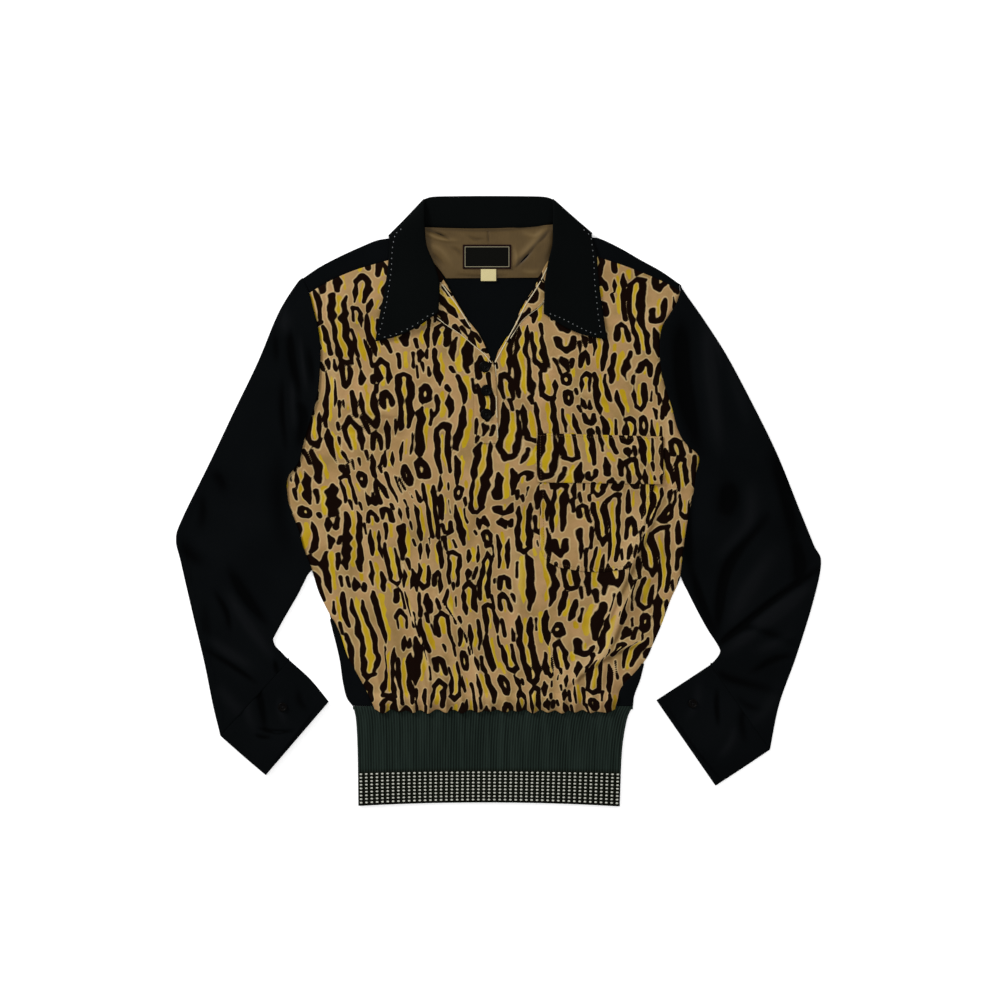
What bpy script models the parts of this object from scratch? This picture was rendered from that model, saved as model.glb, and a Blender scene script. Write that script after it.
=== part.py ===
# Gaucho shirt laid flat and face up: a black back, shoulders and sleeves, a printed front with a short
# placket, a turned collar and a rib waistband.
# Every length in the tables is in millimetres. x runs across the shirt, y from the hem to the neck and
# z up from the surface that the shirt lies on. The origin is under the middle of the whole shirt.

import math

import bpy
import numpy as np
from mathutils import Vector
from mathutils.bvhtree import BVHTree

MM = 0.001

# Cloth
BLACK_WALL = 1.2
PRINT_WALL = 1.6
TRIM_WALL = 1.0
SEAM_GAP = 0.3
CURVE_GAP = 0.8        # between two pieces that follow one curve with different points
ARMHOLE_GAP = 0.5      # measured across the shirt, so that 0.3 is left where the armhole slants
FOLD_RADIUS = 1.1      # middle of the cloth where a ply turns back on itself
PLY_Z = BLACK_WALL / 2
FRONT_Z = 1.5          # underside of the printed front
HOLLOW = 3.8           # most room between two plies

# Neck: the collar's fall lies under the back here, so the cloth above it is lifted
NECK_LIFT = 1.6
NECK_LIFT_Y = (252.0, 290.0)
NECK_CENTRE_X = -10.0
NECK_LIFT_X = (150.0, 122.0)
UPPER_LIFT = 1.2       # the upper layers rise this much more than the back
UPPER_LIFT_LEAD = 10.0 # and start this much lower down

# Waist
WAIST_Y = -246.0
WAIST_CENTRE_X = -2.0
WAIST_ROWS = (-248.0, -238.0, -226.0)  # y of the front's lowest three rows
V_BOTTOM = (-5.0, 163.8)
CENTRE_ROWS = (0, 1, 2, 18)            # rows down the middle of the front, from the waist to the V
CENTRE_YS = (*WAIST_ROWS, V_BOTTOM[1])
WRAP_COLUMNS = 6                       # points across the back's cloth where it folds on to the front

# Outlines, x and y, from the waist up. Front, back and sleeves share these points along their seams.
SIDE_LEFT = [
    (-174.6, -245.5), (-181.8, -235.2), (-186.6, -214.8), (-190.2, -189.6), (-198.0, -157.2),
    (-205.8, -128.4), (-215.4, -108.0), (-223.3, -82.8),
]
SIDE_RIGHT = [
    (161.0, -245.5), (162.6, -232.8), (169.6, -214.0), (176.0, -190.0), (185.0, -171.0),
    (195.0, -148.0), (206.0, -118.0), (217.8, -90.0),
]
ARMHOLE_LEFT = [
    (-223.3, -82.8), (-233.4, -56.4), (-239.4, -34.8), (-248.5, -12.0), (-252.6, 4.0), (-252.6, 27.6),
    (-239.4, 46.8), (-232.2, 75.6), (-223.8, 102.0), (-216.5, 130.0), (-213.7, 163.0), (-213.4, 178.0),
    (-214.2, 194.0), (-216.0, 207.0), (-219.0, 220.0), (-223.0, 235.0), (-226.7, 249.0), (-234.6, 267.6),
]
ARMHOLE_RIGHT = [
    (217.8, -90.0), (222.6, -50.4), (227.0, -22.0), (233.4, 8.4), (237.0, 34.0), (239.9, 53.5),
    (222.6, 70.8), (214.0, 88.0), (207.5, 113.0), (198.6, 140.4), (194.0, 165.0), (193.2, 182.0),
    (193.8, 198.0), (197.0, 211.0), (204.5, 223.0), (212.6, 236.0), (217.8, 251.5), (216.3, 261.0),
]
V_ROW = 10             # row of the armhole that is level with the bottom of the V
PRINT_TOP_ROW = 16     # row where the print meets the shoulder piece
BACK_ARMHOLE_ROWS = (2, 4, 5, 6, 8, 10, 12, 14, 16)  # the rows that the lower plies of body and sleeves share
# Where the print ends and the back's cloth shows at the two lower corners
PRINT_EDGE_LEFT = [
    (-146.0, -256.0), (-149.0, -246.0), (-161.4, -220.8), (-177.0, -193.2), (-186.6, -176.4),
    (-199.0, -150.0),
]
PRINT_EDGE_RIGHT = [
    (136.0, -256.0), (141.0, -243.0), (147.0, -222.6), (162.6, -207.0), (174.2, -191.4),
]
# Top edge of the print, from the armhole to the neck, and the two edges of the V from the neck down
PRINT_TOP_LEFT = [(-226.7, 249.0), (-201.0, 264.0), (-169.8, 277.2), (-132.6, 288.0), (-92.0, 300.0)]
PRINT_TOP_RIGHT = [(217.8, 251.5), (194.4, 264.0), (155.4, 280.0), (118.9, 292.0), (79.0, 305.0)]
V_LEFT = [
    V_BOTTOM, (-10.2, 171.6), (-13.8, 180.0), (-18.6, 191.4), (-25.8, 202.8), (-39.0, 219.6),
    (-52.2, 241.2), (-63.0, 260.4), (-72.6, 277.2), (-92.0, 300.0),
]
V_RIGHT = [
    V_BOTTOM, (-2.3, 171.6), (0.6, 180.0), (5.4, 187.8), (10.2, 195.6), (18.0, 203.4), (22.2, 217.2),
    (30.6, 236.4), (42.6, 254.4), (59.4, 286.8), (79.0, 305.0),
]

# Gathers at the waist seam: where each one stands, its height and how far up the front it runs
GATHERS_LEFT = [  # x, height, length
    (-138.6, 2.2, 60), (-118.2, 1.5, 75), (-102.6, 1.9, 50), (-84.6, 2.3, 90), (-63.0, 1.7, 110),
    (-43.8, 2.1, 80), (-24.6, 1.5, 55), (-11.5, 1.2, 45),
]
GATHERS_RIGHT = [
    (7.8, 1.6, 50), (23.4, 1.3, 60), (41.4, 2.1, 70), (59.4, 1.7, 55), (76.2, 2.2, 100),
    (91.8, 1.6, 85), (109.8, 2.0, 75), (127.8, 1.5, 50),
]

# Folds: three points along each, its half width and its height, which is negative in a trough
FRONT_FOLDS = [  # x0, y0, x1, y1, x2, y2, half width, height
    (-120, -95, -95, -162, -72, -230, 9, 1.3),
    (-76, -112, -40, -160, -18, -228, 8, 1.2),
    (196, 8, 160, -75, 100, -205, 11, 1.5),
    (210, -30, 188, -100, 150, -160, 9, -0.7),
    (-205, 120, -150, 108, -105, 100, 9, 0.8),
    (-190, 84, -150, 82, -108, 78, 8, -0.6),
    (-222, -20, -190, -75, -170, -140, 10, 0.9),
    (-210, 200, -196, 150, -190, 95, 9, 0.8),
    (60, 140, 100, 128, 150, 122, 10, 0.6),
    (12, -40, 28, -90, 20, -150, 10, 0.7),
]
SLEEVE_FOLDS_LEFT = [
    (-239, 205, -245, 140, -248, 73, 9, -0.9),
    (-262, 190, -272, 120, -280, 40, 12, 0.9),
    (-341, -103, -334, -130, -328, -155, 7, -0.9),
    (-331, -70, -318, -120, -300, -165, 9, 1.1),
    (-321, -103, -297, -130, -273, -155, 8, -1.0),
    (-326, -195, -312, -205, -296, -214, 6, -0.8),
    (-350, -150, -335, -185, -330, -230, 9, 0.9),
]
SLEEVE_FOLDS_RIGHT = [
    (231, 240, 251, 187, 260, 145, 9, 1.1),
    (220, 200, 226, 160, 231, 120, 8, -0.8),
    (309, -46, 270, -92, 262, -160, 9, -1.1),
    (312, -60, 300, -108, 283, -150, 11, 1.2),
    (350, -20, 352, -55, 352, -88, 8, -1.0),
    (368, -50, 332, -108, 268, -170, 6, -1.1),
    (384, -76, 338, -128, 272, -184, 7, 1.5),
    (287, -135, 305, -152, 322, -168, 7, -0.8),
]

# Sleeves, from the armhole to the cuff: a row is a line across, from its outer to its inner edge.
# follow says how much of the armhole's curve the line keeps, and out how far that curve has moved out.
SLEEVE_LEFT = [  # outer x, outer y, inner x, inner y, follow, out
    (-234.6, 267.6, -223.3, -82.8, 1.0, 0.0),
    (-242.6, 260.2, -229.2, -89.2, 1.0, 9.0),
    (-264.2, 225.2, -232.0, -95.0, 0.95, 23.0),
    (-289.0, 166.0, -236.0, -103.0, 0.84, 40.0),
    (-318.0, 106.0, -241.0, -113.0, 0.68, 54.0),
    (-346.0, 47.0, -248.0, -125.0, 0.46, 64.0),
    (-379.4, -21.0, -259.0, -144.0, 0.24, 64.0),
    (-387.0, -46.0, -267.5, -160.0, 0.1, 64.0),
    (-381.0, -74.0, -270.2, -166.0, 0.0, 0.0),
    (-366.0, -139.0, -267.6, -174.0, 0.0, 0.0),
    (-352.8, -194.4, -263.0, -181.0, 0.0, 0.0),
    (-342.6, -244.8, -259.6, -188.0, 0.0, 0.0),
    (-333.6, -281.6, -256.6, -193.0, 0.0, 0.0),
]
SLEEVE_RIGHT = [
    (216.3, 261.0, 217.8, -90.0, 1.0, 0.0),
    (224.0, 249.4, 222.4, -100.0, 1.0, 9.0),
    (246.0, 218.0, 226.6, -108.0, 0.95, 23.0),
    (273.0, 176.0, 231.0, -117.0, 0.84, 40.0),
    (303.0, 120.0, 236.6, -128.0, 0.68, 54.0),
    (334.0, 57.0, 244.0, -142.0, 0.46, 64.0),
    (361.0, -10.0, 252.0, -156.0, 0.28, 64.0),
    (378.0, -52.0, 260.0, -168.0, 0.12, 64.0),
    (387.0, -74.0, 265.2, -177.0, 0.04, 64.0),
    (377.4, -121.2, 265.8, -181.0, 0.0, 0.0),
    (357.0, -187.0, 263.6, -186.0, 0.0, 0.0),
    (337.0, -243.0, 259.0, -191.6, 0.0, 0.0),
    (325.6, -298.2, 254.0, -196.4, 0.0, 0.0),
]
SLEEVE_EDGE_HEIGHT = 3.6
SLEEVE_CROWN = 1.1

# Cuffs: the same kind of row, from the sleeve to the open end
CUFF_LEFT = [
    (-333.3, -281.9, -256.3, -193.3, 0.0, 0.0), (-306.0, -306.0, -230.0, -217.0, 0.0, 0.0),
    (-279.4, -328.6, -204.4, -240.9, 0.0, 0.0),
]
CUFF_RIGHT = [
    (325.3, -298.5, 253.7, -196.7, 0.0, 0.0), (292.6, -320.4, 221.4, -218.0, 0.0, 0.0),
    (260.6, -341.4, 189.6, -238.8, 0.0, 0.0),
]
CUFF_EDGE_HEIGHT = 4.4
SECTION_SMOOTHING = 3  # times that each curved section is drawn towards its neighbours
STRAIGHTENING = 5.0    # how far a section moves out before its curve is straightened once more
CUFF_CROWN = 0.4
CUFF_FOLDS = [
    (-287, -226, -284, -245, -278, -262, 5, -0.5),
    (-262, -236, -262, -250, -255, -268, 5, 0.5),
    (262, -232, 262, -250, 258, -268, 5, -0.5),
]

# Shoulders: the fold at the top of each and where it meets the neck
SHOULDER_LEFT = [  # fold x, y, z of the lower ply, and x, y where the lower ply meets the back
    (-234.0, 266.8, 0.6, -229.6, 256.4), (-214.2, 280.2, 0.6, -209.4, 269.2),
    (-190.2, 292.8, 0.6, -185.5, 281.6), (-166.8, 303.5, 0.9, -162.5, 292.0),
    (-146.0, 312.0, 1.8, -142.0, 300.5), (-126.0, 316.0, 2.3, -121.0, 305.0),
    (-103.0, 327.0, 2.3, -97.0, 316.0),
]
SHOULDER_RIGHT = [
    (215.0, 260.6, 0.6, 215.9, 253.6), (194.4, 275.4, 0.6, 192.0, 264.6),
    (169.8, 289.0, 0.6, 165.5, 277.8), (145.8, 302.8, 0.9, 141.0, 291.8),
    (122.0, 314.0, 1.8, 117.5, 302.8), (107.0, 317.0, 2.3, 102.0, 306.0),
    (82.0, 331.0, 2.3, 76.5, 320.0),
]
SHOULDER_PLIES = 2.6   # from the middle of the lower ply to the middle of the upper one

# Neck edge of the back and the piece that faces it
BACK_NECK = [(-78.0, 325.4), (-10.0, 324.6), (56.0, 327.4)]
FACING_LEFT = [(-62.8, 267.4), (-69.0, 277.0), (-78.0, 289.0), (-86.5, 302.5), (-83.0, 325.0)]
FACING_RIGHT = [(47.2, 268.2), (50.0, 273.0), (57.0, 286.0), (73.0, 304.5), (60.0, 327.0)]

# Label and size tab, both bare
LABEL = {"x": (-42.6, 15.0), "y": (278.4, 307.2)}
SIZE_TAB = {"x": (-21.0, -3.0), "y": (264.0, 277.8)}

# Collar, from its left front end round the back of the neck to its right front end.
# Each row: the seam at the neck, the roll line, the outer edge, and which way its outside faces,
# from 90 straight up on the front, through 0 at the side, to -90 straight down under the back.
COLLAR = [  # seam x, y, z, roll x, y, z, outer x, y, z, facing
    (-80.0, 229.0, 5.9, -73.8, 226.4, 6.9, -145.6, 192.6, 4.9, 90),
    (-79.0, 243.0, 6.1, -72.4, 241.5, 7.2, -142.6, 221.0, 5.0, 90),
    (-80.0, 263.0, 6.6, -72.6, 262.0, 7.7, -137.6, 246.0, 5.0, 90),
    (-87.0, 284.0, 6.8, -78.6, 284.0, 7.9, -133.6, 271.0, 5.2, 90),
    (-96.0, 303.0, 7.0, -87.4, 305.0, 8.1, -131.0, 295.0, 6.6, 90),
    (-101.0, 318.0, 7.2, -89.8, 328.0, 8.3, -130.2, 309.0, 7.0, 90),
    (-103.5, 328.5, 6.6, -90.0, 348.0, 7.4, -131.2, 315.5, 6.2, 62),
    (-102.0, 333.0, 4.4, -89.6, 359.0, 4.4, -131.4, 318.4, 3.6, 0),
    (-94.0, 333.0, 3.2, -88.4, 361.0, 2.4, -127.0, 315.5, 1.1, -62),
    (-74.0, 329.0, 3.3, -78.0, 363.6, 1.7, -108.0, 307.5, 0.6, -90),
    (-44.0, 327.6, 3.4, -48.0, 364.1, 1.7, -60.0, 305.6, 0.6, -90),
    (-10.0, 327.2, 3.4, -12.0, 364.3, 1.7, -12.0, 305.0, 0.6, -90),
    (24.0, 328.0, 3.4, 26.0, 364.1, 1.7, 36.0, 305.6, 0.6, -90),
    (50.0, 330.0, 3.3, 54.0, 363.6, 1.7, 86.0, 308.0, 0.6, -90),
    (72.0, 335.0, 3.2, 64.4, 361.0, 2.4, 106.0, 318.4, 1.1, -62),
    (82.0, 336.0, 4.4, 66.0, 359.0, 4.4, 111.6, 321.4, 3.6, 0),
    (84.0, 331.5, 6.6, 67.0, 348.0, 7.4, 111.6, 318.0, 6.2, 62),
    (82.0, 320.0, 7.2, 66.6, 328.0, 8.3, 113.4, 309.0, 7.0, 90),
    (78.0, 306.0, 7.0, 66.0, 307.0, 8.1, 117.4, 296.0, 6.6, 90),
    (70.0, 286.0, 6.9, 61.0, 286.0, 8.0, 119.2, 272.0, 5.2, 90),
    (64.0, 262.0, 6.7, 57.2, 262.0, 7.8, 121.0, 247.0, 5.0, 90),
    (62.0, 241.0, 6.2, 56.4, 241.0, 7.3, 124.6, 221.0, 5.0, 90),
    (61.5, 226.0, 5.9, 55.8, 224.0, 6.9, 128.8, 193.8, 4.9, 90),
]
COLLAR_ROLL = 1.1

# The turned-back edge of the V, outer edges from under the collar down to where it closes
LAPEL_LEFT = {
    "inner": [(-66.0, 265.0), (-52.9, 242.0), (-39.6, 220.3), (-26.4, 203.4), (-19.3, 191.8), (-15.0, 182.0)],
    "outer": [(-82.0, 240.0), (-76.2, 219.0), (-63.0, 212.4), (-45.0, 200.4), (-27.0, 186.0), (-18.0, 178.6)],
}
LAPEL_RIGHT = {
    "inner": [(50.0, 266.0), (43.2, 254.4), (31.2, 236.4), (22.8, 217.2), (18.4, 203.8), (8.0, 191.8)],
    "outer": [(66.0, 252.0), (58.0, 243.0), (48.6, 234.0), (34.0, 223.0), (24.6, 213.0), (11.6, 189.4)],
}

# Placket: the overlapping strip below the V, left and right edges from top to bottom
PLACKET = {
    "left": [(-29.0, 172.0), (-28.9, 160.0), (-28.8, 130.0), (-28.6, 100.0), (-28.4, 69.6)],
    "right": [(-12.0, 172.0), (-5.8, 162.0), (-2.6, 130.0), (-1.6, 100.0), (-1.0, 69.6)],
}

# Pocket and the band across its top, corners from the top left round
POCKET = {
    "left": [(49.8, 33.0), (49.8, 10.0), (50.2, -20.0), (50.6, -50.0), (56.4, -69.0), (70.0, -78.6)],
    "right": [(190.5, 33.0), (184.4, 10.0), (176.6, -20.0), (168.6, -50.0), (163.0, -69.0), (156.0, -80.6)],
}
POCKET_SAG = 5.0
FLAP = {
    "left": [(46.2, 81.1), (46.2, 52.0), (46.8, 22.8)],
    "right": [(197.4, 76.8), (197.6, 50.0), (196.4, 20.4)],
}

# Buttons
BUTTON_RADIUS = 6.9
BUTTONS = [("button_1", -16.2, 161.2), ("button_2", -15.4, 132.0), ("button_3", -15.0, 104.4)]
CUFF_BUTTONS = [("cuff_button_left", -259.0, -247.0), ("cuff_button_right", 233.0, -243.0)]
CUFF_BUTTON_RADIUS = 5.5
BUTTON_PROFILE = [  # share of the radius, height
    (0.0, 0.0), (0.80, 0.0), (0.98, 0.5), (1.0, 1.2), (0.93, 2.0), (0.76, 2.2), (0.66, 1.5), (0.0, 1.4),
]
BUTTON_SIDES = 12

# Waistband, a rib tube: left and right edge of each row, from the seam to the hem
WAISTBAND = [  # y at the left, at the middle and at the right, left x, right x
    (-246.0, -246.0, -246.0, -174.6, 161.2),
    (-262.0, -262.0, -262.0, -171.0, 154.2),
    (-300.0, -299.0, -300.0, -169.0, 148.2),
    (-365.4, -361.2, -366.0, -168.1, 145.4),
]
RIB_COUNT = 156
RIB_DEPTH = 0.55
WAISTBAND_HEIGHT = 4.0
WAISTBAND_WALL = 1.2

COLOURS = {  # base colour, roughness
    "black": ((0.004, 0.0045, 0.005), 0.72),
    "print": ((0.42, 0.27, 0.07), 0.66),
    "collar": ((0.006, 0.0075, 0.009), 0.7),
    "facing": ((0.18, 0.11, 0.055), 0.45),
    "label": ((0.012, 0.008, 0.007), 0.6),
    "tab": ((0.62, 0.5, 0.28), 0.7),
    "button": ((0.012, 0.007, 0.006), 0.3),
    "rib": ((0.012, 0.028, 0.024), 0.85),
}


def clear_scene():
    for item in list(bpy.data.objects):
        bpy.data.objects.remove(item, do_unlink=True)


def material(name):
    found = bpy.data.materials.get(name)
    if found:
        return found
    colour, roughness = COLOURS[name]
    made = bpy.data.materials.new(name)
    made.use_nodes = True
    shader = made.node_tree.nodes["Principled BSDF"]
    shader.inputs["Base Color"].default_value = (*colour, 1.0)
    shader.inputs["Roughness"].default_value = roughness
    shader.inputs["Metallic"].default_value = 0.0
    return made


# Curves and fields

def ease(value):
    t = np.clip(value, 0.0, 1.0)
    return t * t * (3.0 - 2.0 * t)


def spline(points, steps=8):
    """Catmull-Rom curve through the points, with this many steps between two of them."""
    p = np.asarray(points, float)
    p = np.vstack([2 * p[0] - p[1], p, 2 * p[-1] - p[-2]])
    t = np.linspace(0.0, 1.0, steps, endpoint=False)[:, None]
    spans = []
    for a, b, c, d in zip(p[:-3], p[1:-2], p[2:-1], p[3:]):
        bend = (2 * a - 5 * b + 4 * c - d) * t**2 + (3 * b - a - 3 * c + d) * t**3
        spans.append(0.5 * (2 * b + (c - a) * t + bend))
    return np.vstack(spans + [p[-2:-1]])


def along(points, shares):
    """Points at these shares of the length of the curve."""
    dense = spline(points)
    length = np.concatenate([[0.0], np.cumsum(np.linalg.norm(np.diff(dense, axis=0), axis=1))])
    wanted = np.asarray(shares) * length[-1]
    columns = [np.interp(wanted, length, column) for column in dense.T]
    return np.stack(columns, axis=-1)


def x_at(points, y):
    dense = spline(points)
    order = np.argsort(dense[:, 1])
    return np.interp(y, dense[order, 1], dense[order, 0])


def fold_height(x, y, table):
    """Sum of soft ridges and troughs. Each falls off as a bell across and fades to its ends."""
    total = np.zeros_like(x, dtype=float)
    for x0, y0, x1, y1, x2, y2, width, height in table:
        path = spline([(x0, y0), (x1, y1), (x2, y2)], 6)
        gaps = np.stack([np.hypot(x - px, y - py) for px, py in path])
        share = np.argmin(gaps, axis=0) / (len(path) - 1)
        fade = np.sin(np.pi * (0.08 + 0.84 * share)) ** 0.7
        total += height * np.exp(-(gaps.min(axis=0) / width) ** 2) * fade
    return total


def upper_lift(x, y):
    return UPPER_LIFT * neck_lift(x, y + UPPER_LIFT_LEAD)


def neck_lift(x, y):
    up = ease((y - NECK_LIFT_Y[0]) / (NECK_LIFT_Y[1] - NECK_LIFT_Y[0]))
    side = (NECK_LIFT_X[0] - np.abs(x - NECK_CENTRE_X)) / (NECK_LIFT_X[0] - NECK_LIFT_X[1])
    return NECK_LIFT * up * ease(side)


# Solids

def solid(name, points, faces, colour):
    mesh = bpy.data.meshes.new(name)
    places = [tuple(p) for p in np.asarray(points) * MM]
    mesh.from_pydata(places, [], [tuple(int(i) for i in f) for f in faces])
    mesh.materials.append(material(colour))
    mesh.validate()
    mesh.shade_smooth()
    mesh.set_sharp_from_angle(angle=math.radians(50))
    piece = bpy.data.objects.new(name, mesh)
    bpy.context.collection.objects.link(piece)
    return piece


def grid_quads(index):
    """Four-sided faces over a table of point numbers, each turned the same way."""
    corners = [index[:-1, :-1], index[:-1, 1:], index[1:, 1:], index[1:, :-1]]
    return np.stack(corners, axis=-1).reshape(-1, 4)


def shell(name, upper, lower, quads, colour):
    """Closed wall between two layers of points that share their faces."""
    count = len(upper)
    edges = {}
    for quad in quads:
        for a, b in zip(quad, np.roll(quad, -1)):
            edges[(int(a), int(b))] = True
    rim = [(b, a, a + count, b + count) for a, b in edges if (b, a) not in edges]
    faces = [tuple(q) for q in quads] + [tuple(q[::-1] + count) for q in quads] + rim
    return solid(name, np.vstack([upper, lower]), faces, colour)


def slab(name, x, y, low, high, colour):
    """Wall over a grid of places, between a lower and an upper height at each."""
    index = np.arange(x.size).reshape(x.shape)
    upper = np.stack([x, y, high], axis=-1).reshape(-1, 3)
    lower = np.stack([x, y, low], axis=-1).reshape(-1, 3)
    return shell(name, upper, lower, grid_quads(index), colour)


def unit(vectors):
    return vectors / np.maximum(np.linalg.norm(vectors, axis=-1, keepdims=True), 1e-9)


def directions(grid, axis):
    """Mean of the two directions that meet at each point along one way of a grid."""
    step = unit(np.diff(grid, axis=axis))
    first = np.take(step, [0], axis=axis)
    last = np.take(step, [-1], axis=axis)
    return unit(np.concatenate([first, step], axis=axis) + np.concatenate([step, last], axis=axis))


def thick_strip(name, middle, wall, colour):
    """Wall of even thickness about a grid of middle points, stations by points across."""
    normal = unit(np.cross(directions(middle, 1), directions(middle, 0)))
    index = np.arange(middle.shape[0] * middle.shape[1]).reshape(middle.shape[:2])
    one = (middle + normal * wall / 2).reshape(-1, 3)
    other = (middle - normal * wall / 2).reshape(-1, 3)
    return shell(name, one, other, grid_quads(index.T), colour)


def ring_faces(first, second):
    """Faces between two closed rings with as many points each."""
    return [(first[i], first[i - 1], second[i - 1], second[i]) for i in range(len(first))]


def tube(name, outer, inner, colour):
    """Open tube through closed sections: an outer and an inner skin, joined at both mouths."""
    stations, count = outer.shape[:2]
    outside = np.arange(stations * count).reshape(stations, count)
    inside = outside + stations * count
    faces = []
    for s in range(stations - 1):
        faces += ring_faces(outside[s], outside[s + 1])
        faces += ring_faces(inside[s + 1], inside[s])
    faces += ring_faces(inside[0], outside[0])
    faces += ring_faces(outside[-1], inside[-1])
    return solid(name, np.vstack([outer.reshape(-1, 3), inner.reshape(-1, 3)]), faces, colour)


def faces_outward(piece):
    """Turns a piece's faces over if they point in."""
    mesh = piece.data
    mesh.calc_loop_triangles()
    volume = 0.0
    for t in mesh.loop_triangles:
        a, b, c = (mesh.vertices[i].co for i in t.vertices)
        volume += a.dot(b.cross(c))
    if volume < 0:
        mesh.flip_normals()
    return piece


# Flattened tubes: sleeves and cuffs

def section_shape(tops, bottoms):
    """A flattened section: distance in from an edge, share across, and level from -1 below to 1 above."""
    turn = [(0.0, 0.0), (0.6, 0.67), (2.0, 1.0)]
    shape = [(edge, 0.0, level) for edge, level in turn]
    shape += [(None, share, 1.0) for share in tops]
    shape += [(edge, 1.0, level) for edge, level in turn[::-1]]
    shape += [(edge, 1.0, -level) for edge, level in turn[1:]]
    shape += [(None, share, -1.0) for share in reversed(bottoms)]
    shape += [(edge, 0.0, -level) for edge, level in turn[:0:-1]]
    return shape


def point_at(points, measured, share):
    """Place on a line of straight runs, at a share of the length of another line with as many points."""
    length = line_length(measured)
    return np.array([np.interp(share * length[-1], length, points[:, k]) for k in (0, 1)])


def moved_out(points, distance):
    """The armhole moved away from the body, square to its own direction, and straighter as it goes."""
    way = directions(points, 0)
    side = math.copysign(1.0, points[0, 0])
    moved = points + distance * side * np.stack([-way[:, 1], way[:, 0]], axis=-1)
    for _ in range(int(distance / STRAIGHTENING)):
        moved[1:-1] = (moved[:-2] + 2 * moved[1:-1] + moved[2:]) / 4
    return moved


def line_length(points):
    return np.concatenate([[0.0], np.cumsum(np.linalg.norm(np.diff(points, axis=0), axis=1))])


def across(row, armhole, share):
    """Place at a share of the way over a row, on a line that keeps some of the armhole's curve."""
    ox, oy, ix, iy, follow, out = row
    start, end = np.array([ox, oy]), np.array([ix, iy])
    place = start + (end - start) * share
    if follow > 0.0:
        curve = moved_out(armhole, out)
        bent = point_at(curve, armhole, share)
        bent = bent + (start - curve[0]) * (1.0 - share) ** 3 + (end - curve[-1]) * share**3
        place = place + follow * (bent - place)
    return place


def flat_tube(name, rows, armhole, edge_height, crown, folds, tops, bottoms):
    """A tube pressed flat. Its underside is flat, and folds and a low crown are raised on its top."""
    shape = section_shape(tops, bottoms)
    inside = [k for k, point in enumerate(shape) if point[0] is None]
    places = np.array([[across(row, armhole, shape[k][1]) for k in inside] for row in rows])
    curved = max(1, sum(row[4] > 0.0 for row in rows))
    for _ in range(SECTION_SMOOTHING):
        places[1:curved] = (places[:curved - 1] + 2 * places[1:curved] + places[2:curved + 1]) / 4
    outer = np.zeros((len(rows), len(shape), 3))
    inner = np.zeros_like(outer)
    for r, row in enumerate(rows):
        width = math.dist(row[:2], row[2:4])
        for k, (edge, share, level) in enumerate(shape):
            for skin, inset in ((outer, 0.0), (inner, BLACK_WALL)):
                if edge is None:
                    place = places[r, inside.index(k)]
                else:
                    reach = (edge + inset * (1.0 - abs(level))) / width
                    place = across(row, armhole, reach if share == 0.0 else 1.0 - reach)
                high = edge_height
                if level == 1.0 and edge is None:
                    relief = crown + fold_height(place[:1], place[1:], folds)[0]
                    high += relief * np.sin(np.pi * share) ** 0.4
                roof = min(high - inset, inset + HOLLOW) if inset else high
                skin[r, k] = (*place, inset + (roof - inset) * (level + 1.0) / 2.0)
    return faces_outward(tube(name, outer, inner, "black"))


def sleeve(name, rows, armhole, side, folds):
    """Its first section runs along the armhole, point by point with the front and the back."""
    seam = np.array(armhole[::-1]) + (side * ARMHOLE_GAP, 0.0)
    length = line_length(seam)
    shares = length / length[-1]
    below = [shares[len(shares) - 1 - k] for k in BACK_ARMHOLE_ROWS[::-1]]
    ox, oy, ix, iy = rows[0][:4]
    first = (ox + side * ARMHOLE_GAP, oy, ix + side * ARMHOLE_GAP, iy, 1.0, 0.0)
    flat_tube(name, [first] + rows[1:], seam, SLEEVE_EDGE_HEIGHT, SLEEVE_CROWN, folds, shares[1:-1], below)


# Front

def front_columns(gathers, edge_x, centre_x):
    """The x, rise and length of each column: the edge, each gather and the dip after it, then the centre."""
    peaks = [x for x, _, _ in gathers]
    columns = [(edge_x, 0.0, 60.0)]
    for k, (x, height, length) in enumerate(gathers):
        columns.append((x, height, length))
        if k + 1 < len(gathers):
            columns.append(((x + peaks[k + 1]) / 2, -0.35 * height, length))
    columns.append((centre_x, -0.3, 50.0))
    return columns


def front_height(x, y, rise, length):
    """Upper face of the front: the level of the cloth, its folds and gathers and its roll over the waist."""
    up = y - WAIST_Y
    over_seam = (WAISTBAND_HEIGHT + RIB_DEPTH + 3 * SEAM_GAP + PRINT_WALL) * ease((24.0 - up) / 18.0)
    level = np.maximum(FRONT_Z + PRINT_WALL + upper_lift(x, y), over_seam)
    blouse = 1.6 * ease(up / 18.0) * ease((95.0 - up) / 80.0)
    gather = rise * np.exp(-np.maximum(up, 0.0) / length) * 0.9
    return level + blouse + gather + fold_height(x, y, FRONT_FOLDS)


def print_side(print_edge, side, armhole):
    """Points up one side of the print: the rows of the waist, then the rows of the side and armhole."""
    rows = [(x_at(print_edge, y), y) for y in WAIST_ROWS]
    for x, y in side[2:-1]:
        rows.append((x_at(print_edge, y), y) if y < print_edge[-1][1] - 3.0 else (x, y))
    return np.array(rows + armhole[: PRINT_TOP_ROW + 1])


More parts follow.
